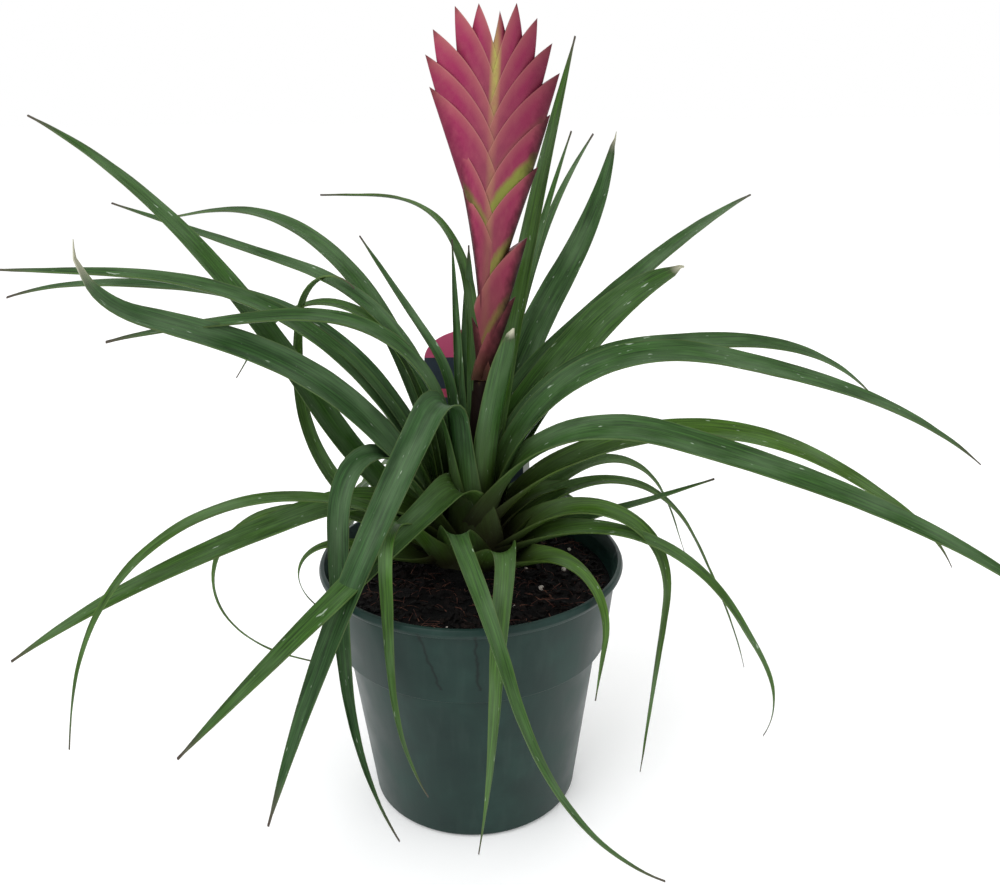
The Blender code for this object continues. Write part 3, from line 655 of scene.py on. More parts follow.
# %% Table of leaves
Leaf = namedtuple(
    "Leaf", "azimuth swing root rise fall start stop end length width hue roll turn lap taper dry",
    defaults=(0, 0, 0, 2.5, 0.0),
)
LEAVES = (
    Leaf(162, 0, 134, 34, 56, 0.00, 0.34, -32, 303, 15, 0.45),
    Leaf(150, 0, 151, 80, 11, 0.08, 0.60, 0, 288, 9, 0.25),
    Leaf(140, 0, 139, 72, -11, 0.10, 0.95, 0, 303, 12, 0.35),
    Leaf(170, 0, 144, 66, 1, 0.10, 0.75, -19, 285, 13, 0.15, turn=-30),
    Leaf(190, 0, 148, 84, -3, 0.15, 0.74, -8, 231, 13, 0.30, turn=45),
    Leaf(178, 0, 144, 65, 2, 0.08, 0.88, 0, 272, 14, 0.30, turn=-30),
    Leaf(195, 0, 141, 61, 20, 0.10, 0.79, 84, 233, 19, 0.15, turn=15, taper=3.5, dry=0.09),
    Leaf(152, 0, 124, 16, 98, 0.08, 0.76, 128, 220, 9, 0.65),
    Leaf(150, 0, 145, 76, -52, 0.20, 0.95, 0, 224, 8, 0.60),
    Leaf(129, 0, 141, 87, 38, 0.34, 0.60, 0, 173, 6, 0.20),
    Leaf(70, 92, 142, 87, -2, 0.38, 0.90, 0, 234, 9, 0.55),
    Leaf(107, 0, 140, 86, 84, 0.20, 0.80, 0, 146, 6, 0.25),
    Leaf(85, 0, 140, 86, 84, 0.20, 0.80, 0, 143, 13, 0.25),
    Leaf(231, 5, 140, 85, -46, 0.23, 0.35, -14, 282, 16, 0.10, roll=4, turn=21, lap=1),
    Leaf(190, 140, 140, 60, -82, 0.15, 0.45, 30, 266, 11, 0.10),
    Leaf(230, 0, 141, 86, -18, 0.08, 0.24, -4, 213, 12, 0.50, roll=-12, turn=50, lap=3),
    Leaf(195, 0, 141, 45, -16, 0.00, 0.40, -16, 229, 13, 0.55),
    Leaf(200, -2, 139, 33, -80, 0.05, 1.00, 0, 264, 6, 0.60),
    Leaf(185, 0, 137, 21, -162, 0.20, 1.00, 0, 221, 5, 0.70),
    Leaf(190, 0, 126, 18, -130, 0.46, 1.00, 0, 110, 4, 0.75),
    Leaf(218, 110, 126, 45, -92, 0.22, 0.57, 42, 207, 7, 0.55),
    Leaf(251, 98, 126, 59, -63, 0.00, 0.60, 46, 248, 10, 0.45),
    Leaf(296, -84, 126, 38, -82, 0.15, 0.60, 4, 209, 10, 0.60),
    Leaf(319, -5, 124, 28, -98, 0.22, 0.80, 0, 136, 6, 0.75),
    Leaf(347, 0, 137, 33, -95, 0.08, 0.60, 0, 229, 9, 0.70),
    Leaf(345, 0, 132, 29, -59, 0.00, 0.75, -56, 214, 8, 0.60),
    Leaf(15, 0, 131, 44, -64, 0.00, 0.66, -10, 238, 7, 0.65),
    Leaf(30, 0, 130, 38, -68, 0.10, 0.90, 0, 184, 7, 0.65),
    Leaf(20, 0, 150, 35, -2, 0.00, 0.60, 0, 62, 5, 0.60),
    Leaf(5, 0, 139, 9, 16, 0.00, 1.00, 0, 119, 5, 0.40),
    Leaf(345, 0, 155, 60, -14, 0.00, 0.42, -22, 305, 15, 0.30, turn=-58, lap=4),
    Leaf(0, 0, 158, 34, -34, 0.00, 0.80, -28, 273, 13, 0.75, turn=-35, lap=2),
    Leaf(5, 0, 148, 76, -15, 0.00, 0.56, -25, 319, 18, 0.30, turn=-35),
    Leaf(20, 0, 149, 76, -1, 0.00, 0.50, -44, 290, 14, 0.30),
    Leaf(43, 0, 149, 81, 25, 0.00, 0.37, -14, 283, 14, 0.35),
    Leaf(31, 0, 145, 76, 41, 0.00, 0.50, -36, 182, 20, 0.50, roll=12, taper=5, dry=0.05),
    Leaf(55, 0, 147, 62, 37, 0.10, 0.60, 35, 233, 18, 0.25, turn=18, taper=3.5, dry=0.04),
    Leaf(64, 0, 145, 62, 25, 0.20, 1.00, 0, 250, 6, 0.35),
    Leaf(63, 0, 145, 63, 46, 0.20, 1.00, 0, 221, 6, 0.40),
    Leaf(48, 0, 150, 75, 67, 0.20, 1.00, 0, 237, 11, 0.60),
    Leaf(312, 0, 152, 82, 70, 0.20, 1.00, 0, 104, 14, 0.30, roll=-30, taper=9, dry=0.05),
    Leaf(44, 0, 128, 38, -82, 0.05, 0.75, 0, 155, 10, 0.60),
    Leaf(53, 0, 128, 36, -78, 0.05, 0.75, 0, 165, 10, 0.65),
    Leaf(118, 0, 128, 36, -50, 0.00, 0.70, -25, 225, 13, 0.55),
    Leaf(127, 0, 128, 30, -75, 0.05, 0.85, 0, 190, 9, 0.65),
    Leaf(135, 0, 126, 26, -70, 0.05, 0.80, -10, 160, 10, 0.65),
)
print(len(LEAVES), "leaves, the longest", max(leaf.length for leaf in LEAVES), "mm")

# %% [markdown]
# The middle of a leaf is walked in sixty equal steps, with the slope and heading that the row gives at each.
# The lower its root, the more sheaths it clasps, so the wider is the round of its foot: that is its girth.
# Over its first 45 mm a leaf stands out from the line of the rest to that round and reaches down from it, and
# that makes the crown of overlapping sheaths. The short stem inside the crown isn't made here, so the crown
# ends a few millimetres above the mix, behind the pot's lip.

# %% A leaf's line
ROOT_CIRCLE = 8.0
LINE_STEPS = 60
FOOT_LENGTH = 45.0
INNER_GIRTH = 9.5
GIRTH_GAIN = 0.35
FOOT_DROP = 12.0
TOP_ROOT = 150.0
LOWEST_ROOT = 134.0
END_EASE = 1.5


def girth(leaf):
    """In millimetres: the radius of what a leaf's sheath clasps."""
    return INNER_GIRTH + GIRTH_GAIN * (TOP_ROOT - leaf.root) + leaf.lap


def footing(part, leaf):
    """1 at a leaf's root, falling to 0 where its foot ends."""
    return max(0.0, 1.0 - part * leaf.length / FOOT_LENGTH) ** 2


def foot_shift(part, leaf):
    """In millimetres: how far a leaf's clasping foot stands out and down from the line of the rest."""
    foot = math.radians(leaf.azimuth + leaf.turn)
    spread = girth(leaf) - ROOT_CIRCLE
    drop = min(FOOT_DROP, leaf.root - LOWEST_ROOT)
    return footing(part, leaf) * Vector((spread * math.cos(foot), spread * math.sin(foot), -drop))


def leaf_line(leaf):
    """(point, slope, heading) in millimetres and radians at even steps along the middle of a leaf."""
    foot = math.radians(leaf.azimuth + leaf.turn)
    place = Vector((ROOT_CIRCLE * math.cos(foot), ROOT_CIRCLE * math.sin(foot), leaf.root))
    places, headings = [place + foot_shift(0.0, leaf)], [foot]
    for step in range(LINE_STEPS):
        part = (step + 0.5) / LINE_STEPS
        bent = smooth_step((part - leaf.start) / (leaf.stop - leaf.start))
        slope = leaf.rise + (leaf.fall - leaf.rise) * bent
        if part > leaf.stop:
            slope += leaf.end * ((part - leaf.stop) / (1.0 - leaf.stop)) ** END_EASE
        slope = math.radians(slope)
        heading = math.radians(leaf.azimuth + leaf.swing * part)
        level = math.cos(slope)
        ahead = Vector((level * math.cos(heading), level * math.sin(heading), math.sin(slope)))
        place += ahead * (leaf.length / LINE_STEPS)
        reached = (step + 1) / LINE_STEPS
        places.append(place + foot_shift(reached, leaf))
        headings.append(heading + math.radians(leaf.turn) * footing(reached, leaf))
    line = []
    for step, (place, heading) in enumerate(zip(places, headings)):
        ahead = places[min(step + 1, LINE_STEPS)] - places[max(step - 1, 0)]
        outward = ahead.x * math.cos(heading) + ahead.y * math.sin(heading)
        line.append((place, math.atan2(ahead.z, outward), heading))
    return line


furthest = max(leaf_line(leaf)[-1][0].xy.length for leaf in LEAVES)
print("the widest leaf reaches", round(furthest), "mm from the axis")

# %% [markdown]
# Across, a leaf is an arc: it wraps the stem at its sheath and is a shallow channel further out. fold is the
# arc's half angle. A flat grid is laid along the line, each of its rows bent to that arc, and bmesh's
# solidify then gives the blade its thickness. The arc is sunk by half its depth, and by less at the sheath,
# so that the line runs midway through it. Where a leaf has withered, its margins roll in and it wanders.
#
# What a shader has to know about a point is written on the vertices as attributes. leaf_place is (millimetres
# from the midrib, millimetres from the root, a number of the leaf's own), and leaf_look is (part of the
# length, hue, dryness). leaf_margin is how many millimetres in from the margin the point lies.

# %% Build the leaves
SHEATH_LENGTH = 80.0
SHEATH_WRAP = math.radians(75)
ARC_SINKS = 0.5
SHEATH_RISES = 0.2
SHOULDERS = 0.85
TIP_WIDTH = 0.8
BLADE_FOLD = math.radians(45)
ROLL_IN = math.radians(350)
LEAF_THICKNESS = 0.7 * MM
LEAF_COLUMNS = 8
TILT_SEED = 5
FACE_TO_LIGHT = math.radians(26)
TILT_SPREAD = math.radians(9)
RIPPLE = 0.35
RIPPLE_LENGTH = 14.0
RIPPLE_ACROSS = 1.5
RIPPLE_APART = 7.3
WITHERED_WANDER = 2.5
RISE_LENGTH, SWAY_LENGTH, SWAY_SLICE = 6.0, 5.0, 9.0
WANDER_APART = 3.1
ROLLED_BY = 0.3


def nearness(part, leaf):
    """1 at a leaf's root, falling to 0 where its sheath ends."""
    return max(0.0, 1.0 - part * leaf.length / SHEATH_LENGTH)


def leaf_width(part, leaf):
    """In millimetres: a sheath that clasps the stem, then a strap that is drawn out to a long point."""
    blade = leaf.width * (1.0 - part**leaf.taper) ** SHOULDERS
    sheath = 2 * girth(leaf) * math.sin(SHEATH_WRAP)
    return max(TIP_WIDTH, blade + (sheath - blade) * nearness(part, leaf) ** 2)


def add_leaf(shape, leaf, tilt, number):
    """One blade, added to the bmesh. tilt rolls it about its own length."""
    line = leaf_line(leaf)
    blade = bmesh.new()
    place_layer = blade.verts.layers.float_vector.new("leaf_place")
    look_layer = blade.verts.layers.float_vector.new("leaf_look")
    margin_layer = blade.verts.layers.float.new("leaf_margin")
    bmesh.ops.create_grid(blade, x_segments=LEAF_COLUMNS, y_segments=LINE_STEPS, size=1.0)
    for vertex in blade.verts:
        across = vertex.co.x
        index = round((vertex.co.y + 1.0) / 2.0 * LINE_STEPS)
        centre, slope, heading = line[index]
        part = index / LINE_STEPS
        near = nearness(part, leaf)
        along = part * leaf.length
        half = leaf_width(part, leaf) / 2
        side = Vector((-math.sin(heading), math.cos(heading), 0.0))
        face = Vector((
            -math.sin(slope) * math.cos(heading), -math.sin(slope) * math.sin(heading), math.cos(slope),
        ))
        roll = tilt * min(1.0, part / ROLLED_BY)
        side, face = (
            side * math.cos(roll) + face * math.sin(roll), face * math.cos(roll) - side * math.sin(roll),
        )
        dried = max(0.0, 1.0 - (1.0 - part) / leaf.dry) if leaf.dry else 0.0
        fold = BLADE_FOLD + (SHEATH_WRAP - BLADE_FOLD) * near
        radius = half / math.sin(fold)
        if dried:
            rolled = fold + ROLL_IN / leaf.taper * dried
            radius, fold = radius * fold / rolled, rolled
        sideways = radius * math.sin(across * fold)
        raised = radius * (1.0 - math.cos(across * fold))
        raised -= radius * (1.0 - math.cos(fold)) * (ARC_SINKS - SHEATH_RISES * near)
        wave = noise.noise(Vector((along / RIPPLE_LENGTH, across * RIPPLE_ACROSS, number * RIPPLE_APART)))
        rise = noise.noise(Vector((along / RISE_LENGTH, number * WANDER_APART, 0.0)))
        sway = noise.noise(Vector((along / SWAY_LENGTH, SWAY_SLICE, number * WANDER_APART)))
        raised += RIPPLE * wave * abs(across) * (1.0 - near) + WITHERED_WANDER * dried * rise
        sideways += WITHERED_WANDER * dried * sway
        vertex.co = (centre + side * sideways + face * raised) * MM
        vertex[place_layer] = (across * half, along, number)
        vertex[look_layer] = (part, leaf.hue, dried)
        vertex[margin_layer] = half * (1.0 - abs(across))
    bmesh.ops.solidify(blade, geom=blade.faces[:], thickness=LEAF_THICKNESS)
    bmesh.ops.recalc_face_normals(blade, faces=blade.faces)
    pour(blade, shape)


draw = random.Random(TILT_SEED)
rosette = bmesh.new()
rosette.verts.layers.float_vector.new("leaf_place")
rosette.verts.layers.float_vector.new("leaf_look")
rosette.verts.layers.float.new("leaf_margin")
for number, leaf in enumerate(LEAVES):
    turned = FACE_TO_LIGHT * math.cos(math.radians(leaf.azimuth)) + math.radians(leaf.roll)
    add_leaf(rosette, leaf, turned + draw.uniform(-TILT_SPREAD, TILT_SPREAD), number)
print("the rosette has", len(rosette.faces), "faces")

# %% [markdown]
# A leaf is deep green. Fine veins run its whole length, less than a millimetre apart. Over that lie, in this
# order, a waxy grey bloom in patches, a few pale flecks that are partly dried lime and partly painted glints,
# a painted highlight along the very edge as a paler line, the olive and then purple-brown stain of the
# sheath, a brown tip, and the straw-white of a withered end. Wax leaves the gloss broad and uneven.

# %% Finish of the leaves


def make_leaf_green():
    made, tree, shader = new_material("waxy leaf", IOR=1.45, Specular_IOR_Level=0.2)
    named = {
        name: add_node(tree, "Attribute", attribute_name=name, attribute_type="GEOMETRY").outputs
        for name in ("leaf_place", "leaf_look", "leaf_margin")
    }
    place, margin = named["leaf_place"]["Vector"], named["leaf_margin"]["Fac"]
    looks = add_node(tree, "SeparateXYZ", {"Vector": named["leaf_look"]["Vector"]}).outputs
    travelled = add_node(tree, "SeparateXYZ", {"Vector": place}).outputs["Y"]
    young = add_node(tree, "ValToRGB", {"Fac": looks["Y"]}, stops=[
        (0.0, "31542d"), (0.45, "3b6324"), (1.0, "557a1b"),
    ])
    veins = drawn_noise(tree, place, (1.0, 0.02, 1.7), 1.8, 3.0, 0.6)
    clouds = drawn_noise(tree, place, (0.12, 0.03, 3.1), 1.0, 4.0)
    lime_and_glint_flecks = drawn_noise(tree, place, (0.8, 0.14, 5.3), 1.0, 2.0)
    vein_tone = add_node(tree, "ValToRGB", {"Fac": veins}, stops=[
        (0.30, "8a8a8a"), (0.50, "c6c6c6"), (0.72, "ffffff"),
    ])
    lined = add_node(tree, "Mix", {
        "Factor": 1.0, "A": young.outputs["Color"], "B": vein_tone.outputs["Color"],
    }, data_type="RGBA", blend_type="MULTIPLY")
    skin = lay_over(tree, lined.outputs["Result"], [
        (clouds, 0.40, 0.72, 0.0, 0.34, "6c8563"),
        # partly dried lime, partly painted glints: sparse pale flecks drawn out along the leaf
        (lime_and_glint_flecks, 0.70, 0.76, 0.0, 0.7, "a9b8a4"),
        # painted highlight: a paler line along the very edge of each leaf
        (margin, 0.1, 0.45, 0.35, 0.0, "5c6a3a"),
        (travelled, 20.0, 60.0, 0.6, 0.0, "34420f"),
        (travelled, 8.0, 34.0, 0.85, 0.0, "1b120f"),
        (looks["X"], 0.93, 1.0, 0.0, 0.8, "4a353a"),
        (looks["Z"], 0.0, 0.7, 0.0, 0.9, "b9b8a2"),
    ])
    finish_skin(tree, shader, skin, veins, 0.35, 0.25 * MM, (clouds, 0.42, 0.58))
    return made


waxy_leaf = make_leaf_green()
finish_piece("rosette_leaves", rosette, waxy_leaf, 60, "rosette")

# %% [markdown]
# ## The flower's axis
#
# The stalk leans a little to +X, and the spike carries on along the same line, so both use one function.

# %% Axis
LEAN = math.radians(3.2)
AXIS_FOOT = Vector((1.6, 0.0, 132.0))


def axis_point(height):
    """The flower's axis at a height, in millimetres."""
    return Vector((AXIS_FOOT.x + math.tan(LEAN) * (height - AXIS_FOOT.z), AXIS_FOOT.y, height))


print("the axis leans", round(math.degrees(LEAN), 1), "degrees to +X")

# %% [markdown]
# ## The stalk
#
# The stalk is round, about as thick as a pencil, and hidden in sheathing bracts: sleeves that hug it and end
# in a slanting lip. A sleeve is a cone that narrows to the stalk, cut off aslant by a plane.

# %% Stalk and sleeves
STALK_RADIUS = 4.4
STALK_TOP_RADIUS = 3.9
STALK_TOP = 222.0
SLEEVE_RADIUS = 5.2
SLEEVE_SLANT = 9.0
SLEEVE_CUT = Vector((0.9, 0.25, 0.5))
STALK_SIDES = 40

Sleeve = namedtuple("Sleeve", "foot top side")
SLEEVES = (
    Sleeve(140, 186, -1),
    Sleeve(166, 204, 1),
    Sleeve(186, 219, -1),
)


def round_bar(shape, radius, foot, top, top_radius):
    """Adds a round bar between two points given in millimetres."""
    along = (top - foot) * MM
    place = Matrix.Translation((foot + top) * MM / 2) @ along.to_track_quat("Z", "Y").to_matrix().to_4x4()
    return bmesh.ops.create_cone(
        shape, cap_ends=True, segments=STALK_SIDES, radius1=radius * MM, radius2=top_radius * MM,
        depth=along.length, matrix=place,
    )["verts"]


stalk = bmesh.new()
round_bar(stalk, STALK_RADIUS, AXIS_FOOT, axis_point(STALK_TOP), STALK_TOP_RADIUS)
for sleeve in SLEEVES:
    tube = bmesh.new()
    round_bar(tube, SLEEVE_RADIUS, axis_point(sleeve.foot), axis_point(sleeve.top), STALK_RADIUS)
    bmesh.ops.bisect_plane(
        tube, geom=tube.verts[:] + tube.edges[:] + tube.faces[:],
        plane_co=axis_point(sleeve.top - SLEEVE_SLANT) * MM,
        plane_no=(SLEEVE_CUT * Vector((-sleeve.side, 1.0, 1.0))).normalized(), clear_outer=True,
    )
    bmesh.ops.holes_fill(tube, edges=tube.edges)
    bmesh.ops.recalc_face_normals(tube, faces=tube.faces)
    pour(tube, stalk)
print("the stalk has", len(SLEEVES), "sleeves")

# %% [markdown]
# The sheaths are dull and nearly black-brown low down, and pass to olive at the stalk's top in streaks that
# run up them, a couple of millimetres apart.

# %% Finish of the stalk


def make_stalk_skin():
    made, tree, shader = new_material("sheathed stalk skin", IOR=1.45, Roughness=0.6, Specular_IOR_Level=0.12)
    place = add_node(tree, "TexCoord").outputs["Object"]
    height = add_node(tree, "SeparateXYZ", {"Vector": place}).outputs["Z"]
    streaks = drawn_noise(tree, place, (1.0, 1.0, 0.15), 1 / (2.2 * MM), 4.0)
    level = add_node(tree, "Math", {0: streaks, 1: 16 * MM, 2: height}, operation="MULTIPLY_ADD")
    share = add_node(tree, "MapRange", {
        "Value": level.outputs["Value"], "From Min": 170 * MM, "From Max": 235 * MM,
    })
    tone = add_node(tree, "ValToRGB", {"Fac": share.outputs["Result"]}, stops=[
        (0.0, "23230f"), (0.25, "17120d"), (0.62, "180f0c"), (0.93, "1a0f0d"), (1.0, "43361f"),
    ])
    finish_skin(tree, shader, tone.outputs["Color"], streaks, 0.4, 0.3 * MM)
    return made


finish_piece("sheathed_stalk", stalk, make_stalk_skin(), 40, "flower_stalk")

# %% [markdown]
# ## The pink spike
#
# The quill is two ranks of bracts, folded along a keel that faces outwards and laid like roof tiles from the
# bottom up: each lower bract's margins lie over the foot of the next one above it on its side. A row gives
# one bract. side is -1 at -X and 1 at +X, tip is the height of its point, reach is how far the point stands
# from the axis, length is how far up the axis it runs, swell is how much its keel bellies out, and drop is
# how far below its point its margins cross the axis, all in millimetres. Then come its colours: green is how
# many millimetres of yellow-green show above the next lower bract, heart is how yellow its margins are beside
# the axis, and dark is how much its keel is stained maroon.

# %% Table of bracts
Bract = namedtuple("Bract", "side tip reach length swell drop green heart dark")
BRACTS = (
    Bract(-1, 253, 6, 30, 0, 17, 0.0, 0.0, 0.9),
    Bract(1, 262, 14, 39, 0, 18, 0.0, 0.0, 1.0),
    Bract(1, 289, 18, 60, 0, 22, 3.5, 0.1, 1.0),
    Bract(-1, 310, 12, 66, -4, 23, 1.0, 0.1, 0.8),
    Bract(1, 320, 21, 68, -4, 25, 6.0, 0.2, 0.9),
    Bract(-1, 336, 20, 70, -6, 36, 3.0, 0.2, 0.6),
    Bract(1, 342, 25, 72, 0, 30, 6.0, 0.2, 0.9),
    Bract(-1, 354, 28, 72, -4, 33, 0.0, 0.2, 0.4),
    Bract(1, 359, 28, 72, 2, 31, 0.6, 0.1, 0.5),
    Bract(-1, 367, 30, 70, 0, 35, 0.0, 0.1, 0.2),
    Bract(1, 371, 24, 68, 3, 33, 0.0, 0.1, 0.3),
    Bract(-1, 377, 27, 68, 6, 37, 0.0, 0.3, 0.0),
    Bract(1, 381, 17, 66, 8, 35, 0.0, 0.45, 0.0),
    Bract(-1, 386, 18, 64, 6, 34, 0.0, 0.7, 0.0),
    Bract(1, 387, 8, 58, 13, 34, 0.0, 0.9, 0.0),
    Bract(-1, 387, 8, 54, 12, 28, 0.0, 0.9, 0.0),
    Bract(1, 384, 1, 46, 10, 20, 0.0, 0.6, 0.0),
)
print(len(BRACTS), "bracts, the highest point at", max(bract.tip for bract in BRACTS), "mm")

# %% [markdown]
# A bract is a boat: a closed ring of points runs from its front margin round the keel to its back margin and
# is drawn up its length by extruding the ring, row after row, and moving the new ring into place. The ends
# are closed with a face each. The keel and the margins are curves with one bend each, whose pull is a share
# of the row's reach, length or drop. Each bract stands a hair's breadth prouder than the next one above it,
# so that their margins never run into each other, and the lowest two start level, round the top of the stalk.
#
# Four attributes tell the shader where a point is: bract_place is (millimetres from the margin, millimetres
# up its length, a number of the bract's own), bract_look is (part of the length, millimetres from the keel,
# millimetres above the margin of the next lower bract), and bract_tint is (green, heart, dark) of its row.
# bract_axis is how many millimetres the point stands from the flower's axis.

# %% Build the bracts
SPIKE_HALF_DEPTH = 4.4
SPIKE_HALF_WIDTH = 30.0
EDGE_THINS_BY = 0.5
BRACT_LIFT = 3.0
SPIKE_CORE_RADIUS = 2.8
SPIKE_CORE_TOP_RADIUS = 0.7 * SPIKE_CORE_RADIUS
SPIKE_CORE_FLATNESS = 0.8
SPIKE_CORE_TOP = 366.0
SPIKE_CORE_FOOT = STALK_TOP + GAP / MM
BRACT_ROWS = 26
BRACT_COLUMNS = 9
MARGIN_STEPS = 24
LEVEL_BELOW = 228.0
LAY_OVER = 0.04
NONE_BELOW = 99.0
KEEL_FOOT = 2.0
KEEL_BELLY_OUT, KEEL_BELLY_UP = 0.62, 0.45
MARGIN_FOOT, MARGIN_RUNS_DOWN = -5.0, 1.45
MARGIN_BEND_OUT, MARGIN_BEND_DOWN = 0.02, 0.5
LEAST_SPAN = 0.8
KEEL_CROWDING = 1.4
DEEPEST = 0.45
ROUND_SHARE, ROUND_LEAST = 0.6, 2.0


def quadratic(start, bend, stop, part):
    """A point on the curve from start to stop that bend pulls on."""
    return start * (1 - part) ** 2 + bend * (2 * part * (1 - part)) + stop * part**2


def keel_point(bract, part):
    """(out from the axis, up from the foot) on a bract's keel."""
    belly = Vector((KEEL_BELLY_OUT * bract.reach + bract.swell, KEEL_BELLY_UP * bract.length))
    return quadratic(Vector((KEEL_FOOT, 0.0)), belly, Vector((bract.reach, bract.length)), part)


def margin_point(bract, part):
    """(out from the axis, up from the foot) on a bract's margin."""
    low = Vector((MARGIN_FOOT, bract.length - MARGIN_RUNS_DOWN * bract.drop))
    if bract.tip - bract.length < LEVEL_BELOW:
        low.y = 0.0
    bend = Vector((MARGIN_BEND_OUT * bract.reach, bract.length - MARGIN_BEND_DOWN * bract.drop))
    return quadratic(low, bend, Vector((bract.reach, bract.length)), part)


def margin_height(bract, out):
    """The height at which a bract's margin stands this far out, or its point's height beyond that."""
    foot = bract.tip - bract.length
    curve = [margin_point(bract, step / MARGIN_STEPS) for step in range(MARGIN_STEPS + 1)]
    for (near, low), (far, high) in zip(curve, curve[1:]):
        if near <= out <= far:
            return foot + low + (high - low) * (out - near) / (far - near)
    return foot + (curve[0].y if out < curve[0].x else bract.length)


def bract_row(bract, part, number):
    """The ring of (point, share from keel to margin, distance from axis, span) at one part of its length.

    number is the bract's place from the bottom up, which says how proud it stands."""
    at_keel, at_margin = keel_point(bract, part), margin_point(bract, part)
    span = max(LEAST_SPAN, (at_margin - at_keel).length)
    foot = bract.tip - bract.length
    ring = []
    for column in range(-BRACT_COLUMNS, BRACT_COLUMNS + 1):
        across = column / BRACT_COLUMNS
        share = abs(across) ** KEEL_CROWDING
        out, up = at_keel + (at_margin - at_keel) * share
        half_depth = SPIKE_HALF_DEPTH * (1.0 - EDGE_THINS_BY * (out / SPIKE_HALF_WIDTH) ** 2)
        half_depth += BRACT_LIFT * (part - 0.5) + LAY_OVER * (len(BRACTS) - number)
        half_depth = min(half_depth, DEEPEST * span)
        rounded = ROUND_SHARE * abs(at_keel.x) * (1.0 - part**2) + ROUND_LEAST
        fullness = math.sqrt(min(1.0, share * span / rounded))
        thick = math.copysign(half_depth * fullness, across) if share else 0.0
        ring.append((axis_point(foot + up) + Vector((bract.side * out, thick, 0.0)), share, out, span))
    return ring


def add_bract(shape, bract, lower, number):
    """One closed bract, added to the bmesh. lower is the next one below it on its side, or None."""
    boat = bmesh.new()
    place_layer = boat.verts.layers.float_vector.new("bract_place")
    look_layer = boat.verts.layers.float_vector.new("bract_look")
    tint_layer = boat.verts.layers.float_vector.new("bract_tint")
    axis_layer = boat.verts.layers.float.new("bract_axis")
    rows = [bract_row(bract, row / BRACT_ROWS, number) for row in range(BRACT_ROWS + 1)]
    ring = [boat.verts.new(corner[0] * MM) for corner in rows[0]]
    edges = [boat.edges.new(pair) for pair in zip(ring, ring[1:] + ring[:1])]
    bmesh.ops.contextual_create(boat, geom=edges)
    rings = [ring]
    for row in rows[1:]:
        moved = bmesh.ops.extrude_edge_only(boat, edges=edges)["geom"]
        edges = [item for item in moved if isinstance(item, bmesh.types.BMEdge)]
        above = {}
        for vertex in moved:
            if isinstance(vertex, bmesh.types.BMVert):
                below = next(e.other_vert(vertex) for e in vertex.link_edges if e.other_vert(vertex) in ring)
                above[below] = vertex
        ring = [above[vertex] for vertex in ring]
        for vertex, corner in zip(ring, row):
            vertex.co = corner[0] * MM
        rings.append(ring)
    bmesh.ops.contextual_create(boat, geom=edges)
    for step, (ring, row) in enumerate(zip(rings, rows)):
        part = step / BRACT_ROWS
        for vertex, (point, share, out, span) in zip(ring, row):
            above_lower = point.z - margin_height(lower, out) if lower else NONE_BELOW
            vertex[place_layer] = ((1.0 - share) * span, part * bract.length, number)
            vertex[look_layer] = (part, share * span, above_lower)
            vertex[tint_layer] = (bract.green, bract.heart, bract.dark)
            vertex[axis_layer] = abs(out)
    bmesh.ops.recalc_face_normals(boat, faces=boat.faces)
    pour(boat, shape)


quill = bmesh.new()
for name in ("bract_place", "bract_look", "bract_tint"):
    quill.verts.layers.float_vector.new(name)
quill.verts.layers.float.new("bract_axis")
last_on_side = {}
for number, bract in enumerate(BRACTS):
    add_bract(quill, bract, last_on_side.get(bract.side), number)
    last_on_side[bract.side] = bract
core = round_bar(
    quill, SPIKE_CORE_RADIUS, axis_point(SPIKE_CORE_FOOT), axis_point(SPIKE_CORE_TOP), SPIKE_CORE_TOP_RADIUS,
)
for vertex in core:
    vertex.co.y *= SPIKE_CORE_FLATNESS
print("the spike has", len(quill.faces), "faces")
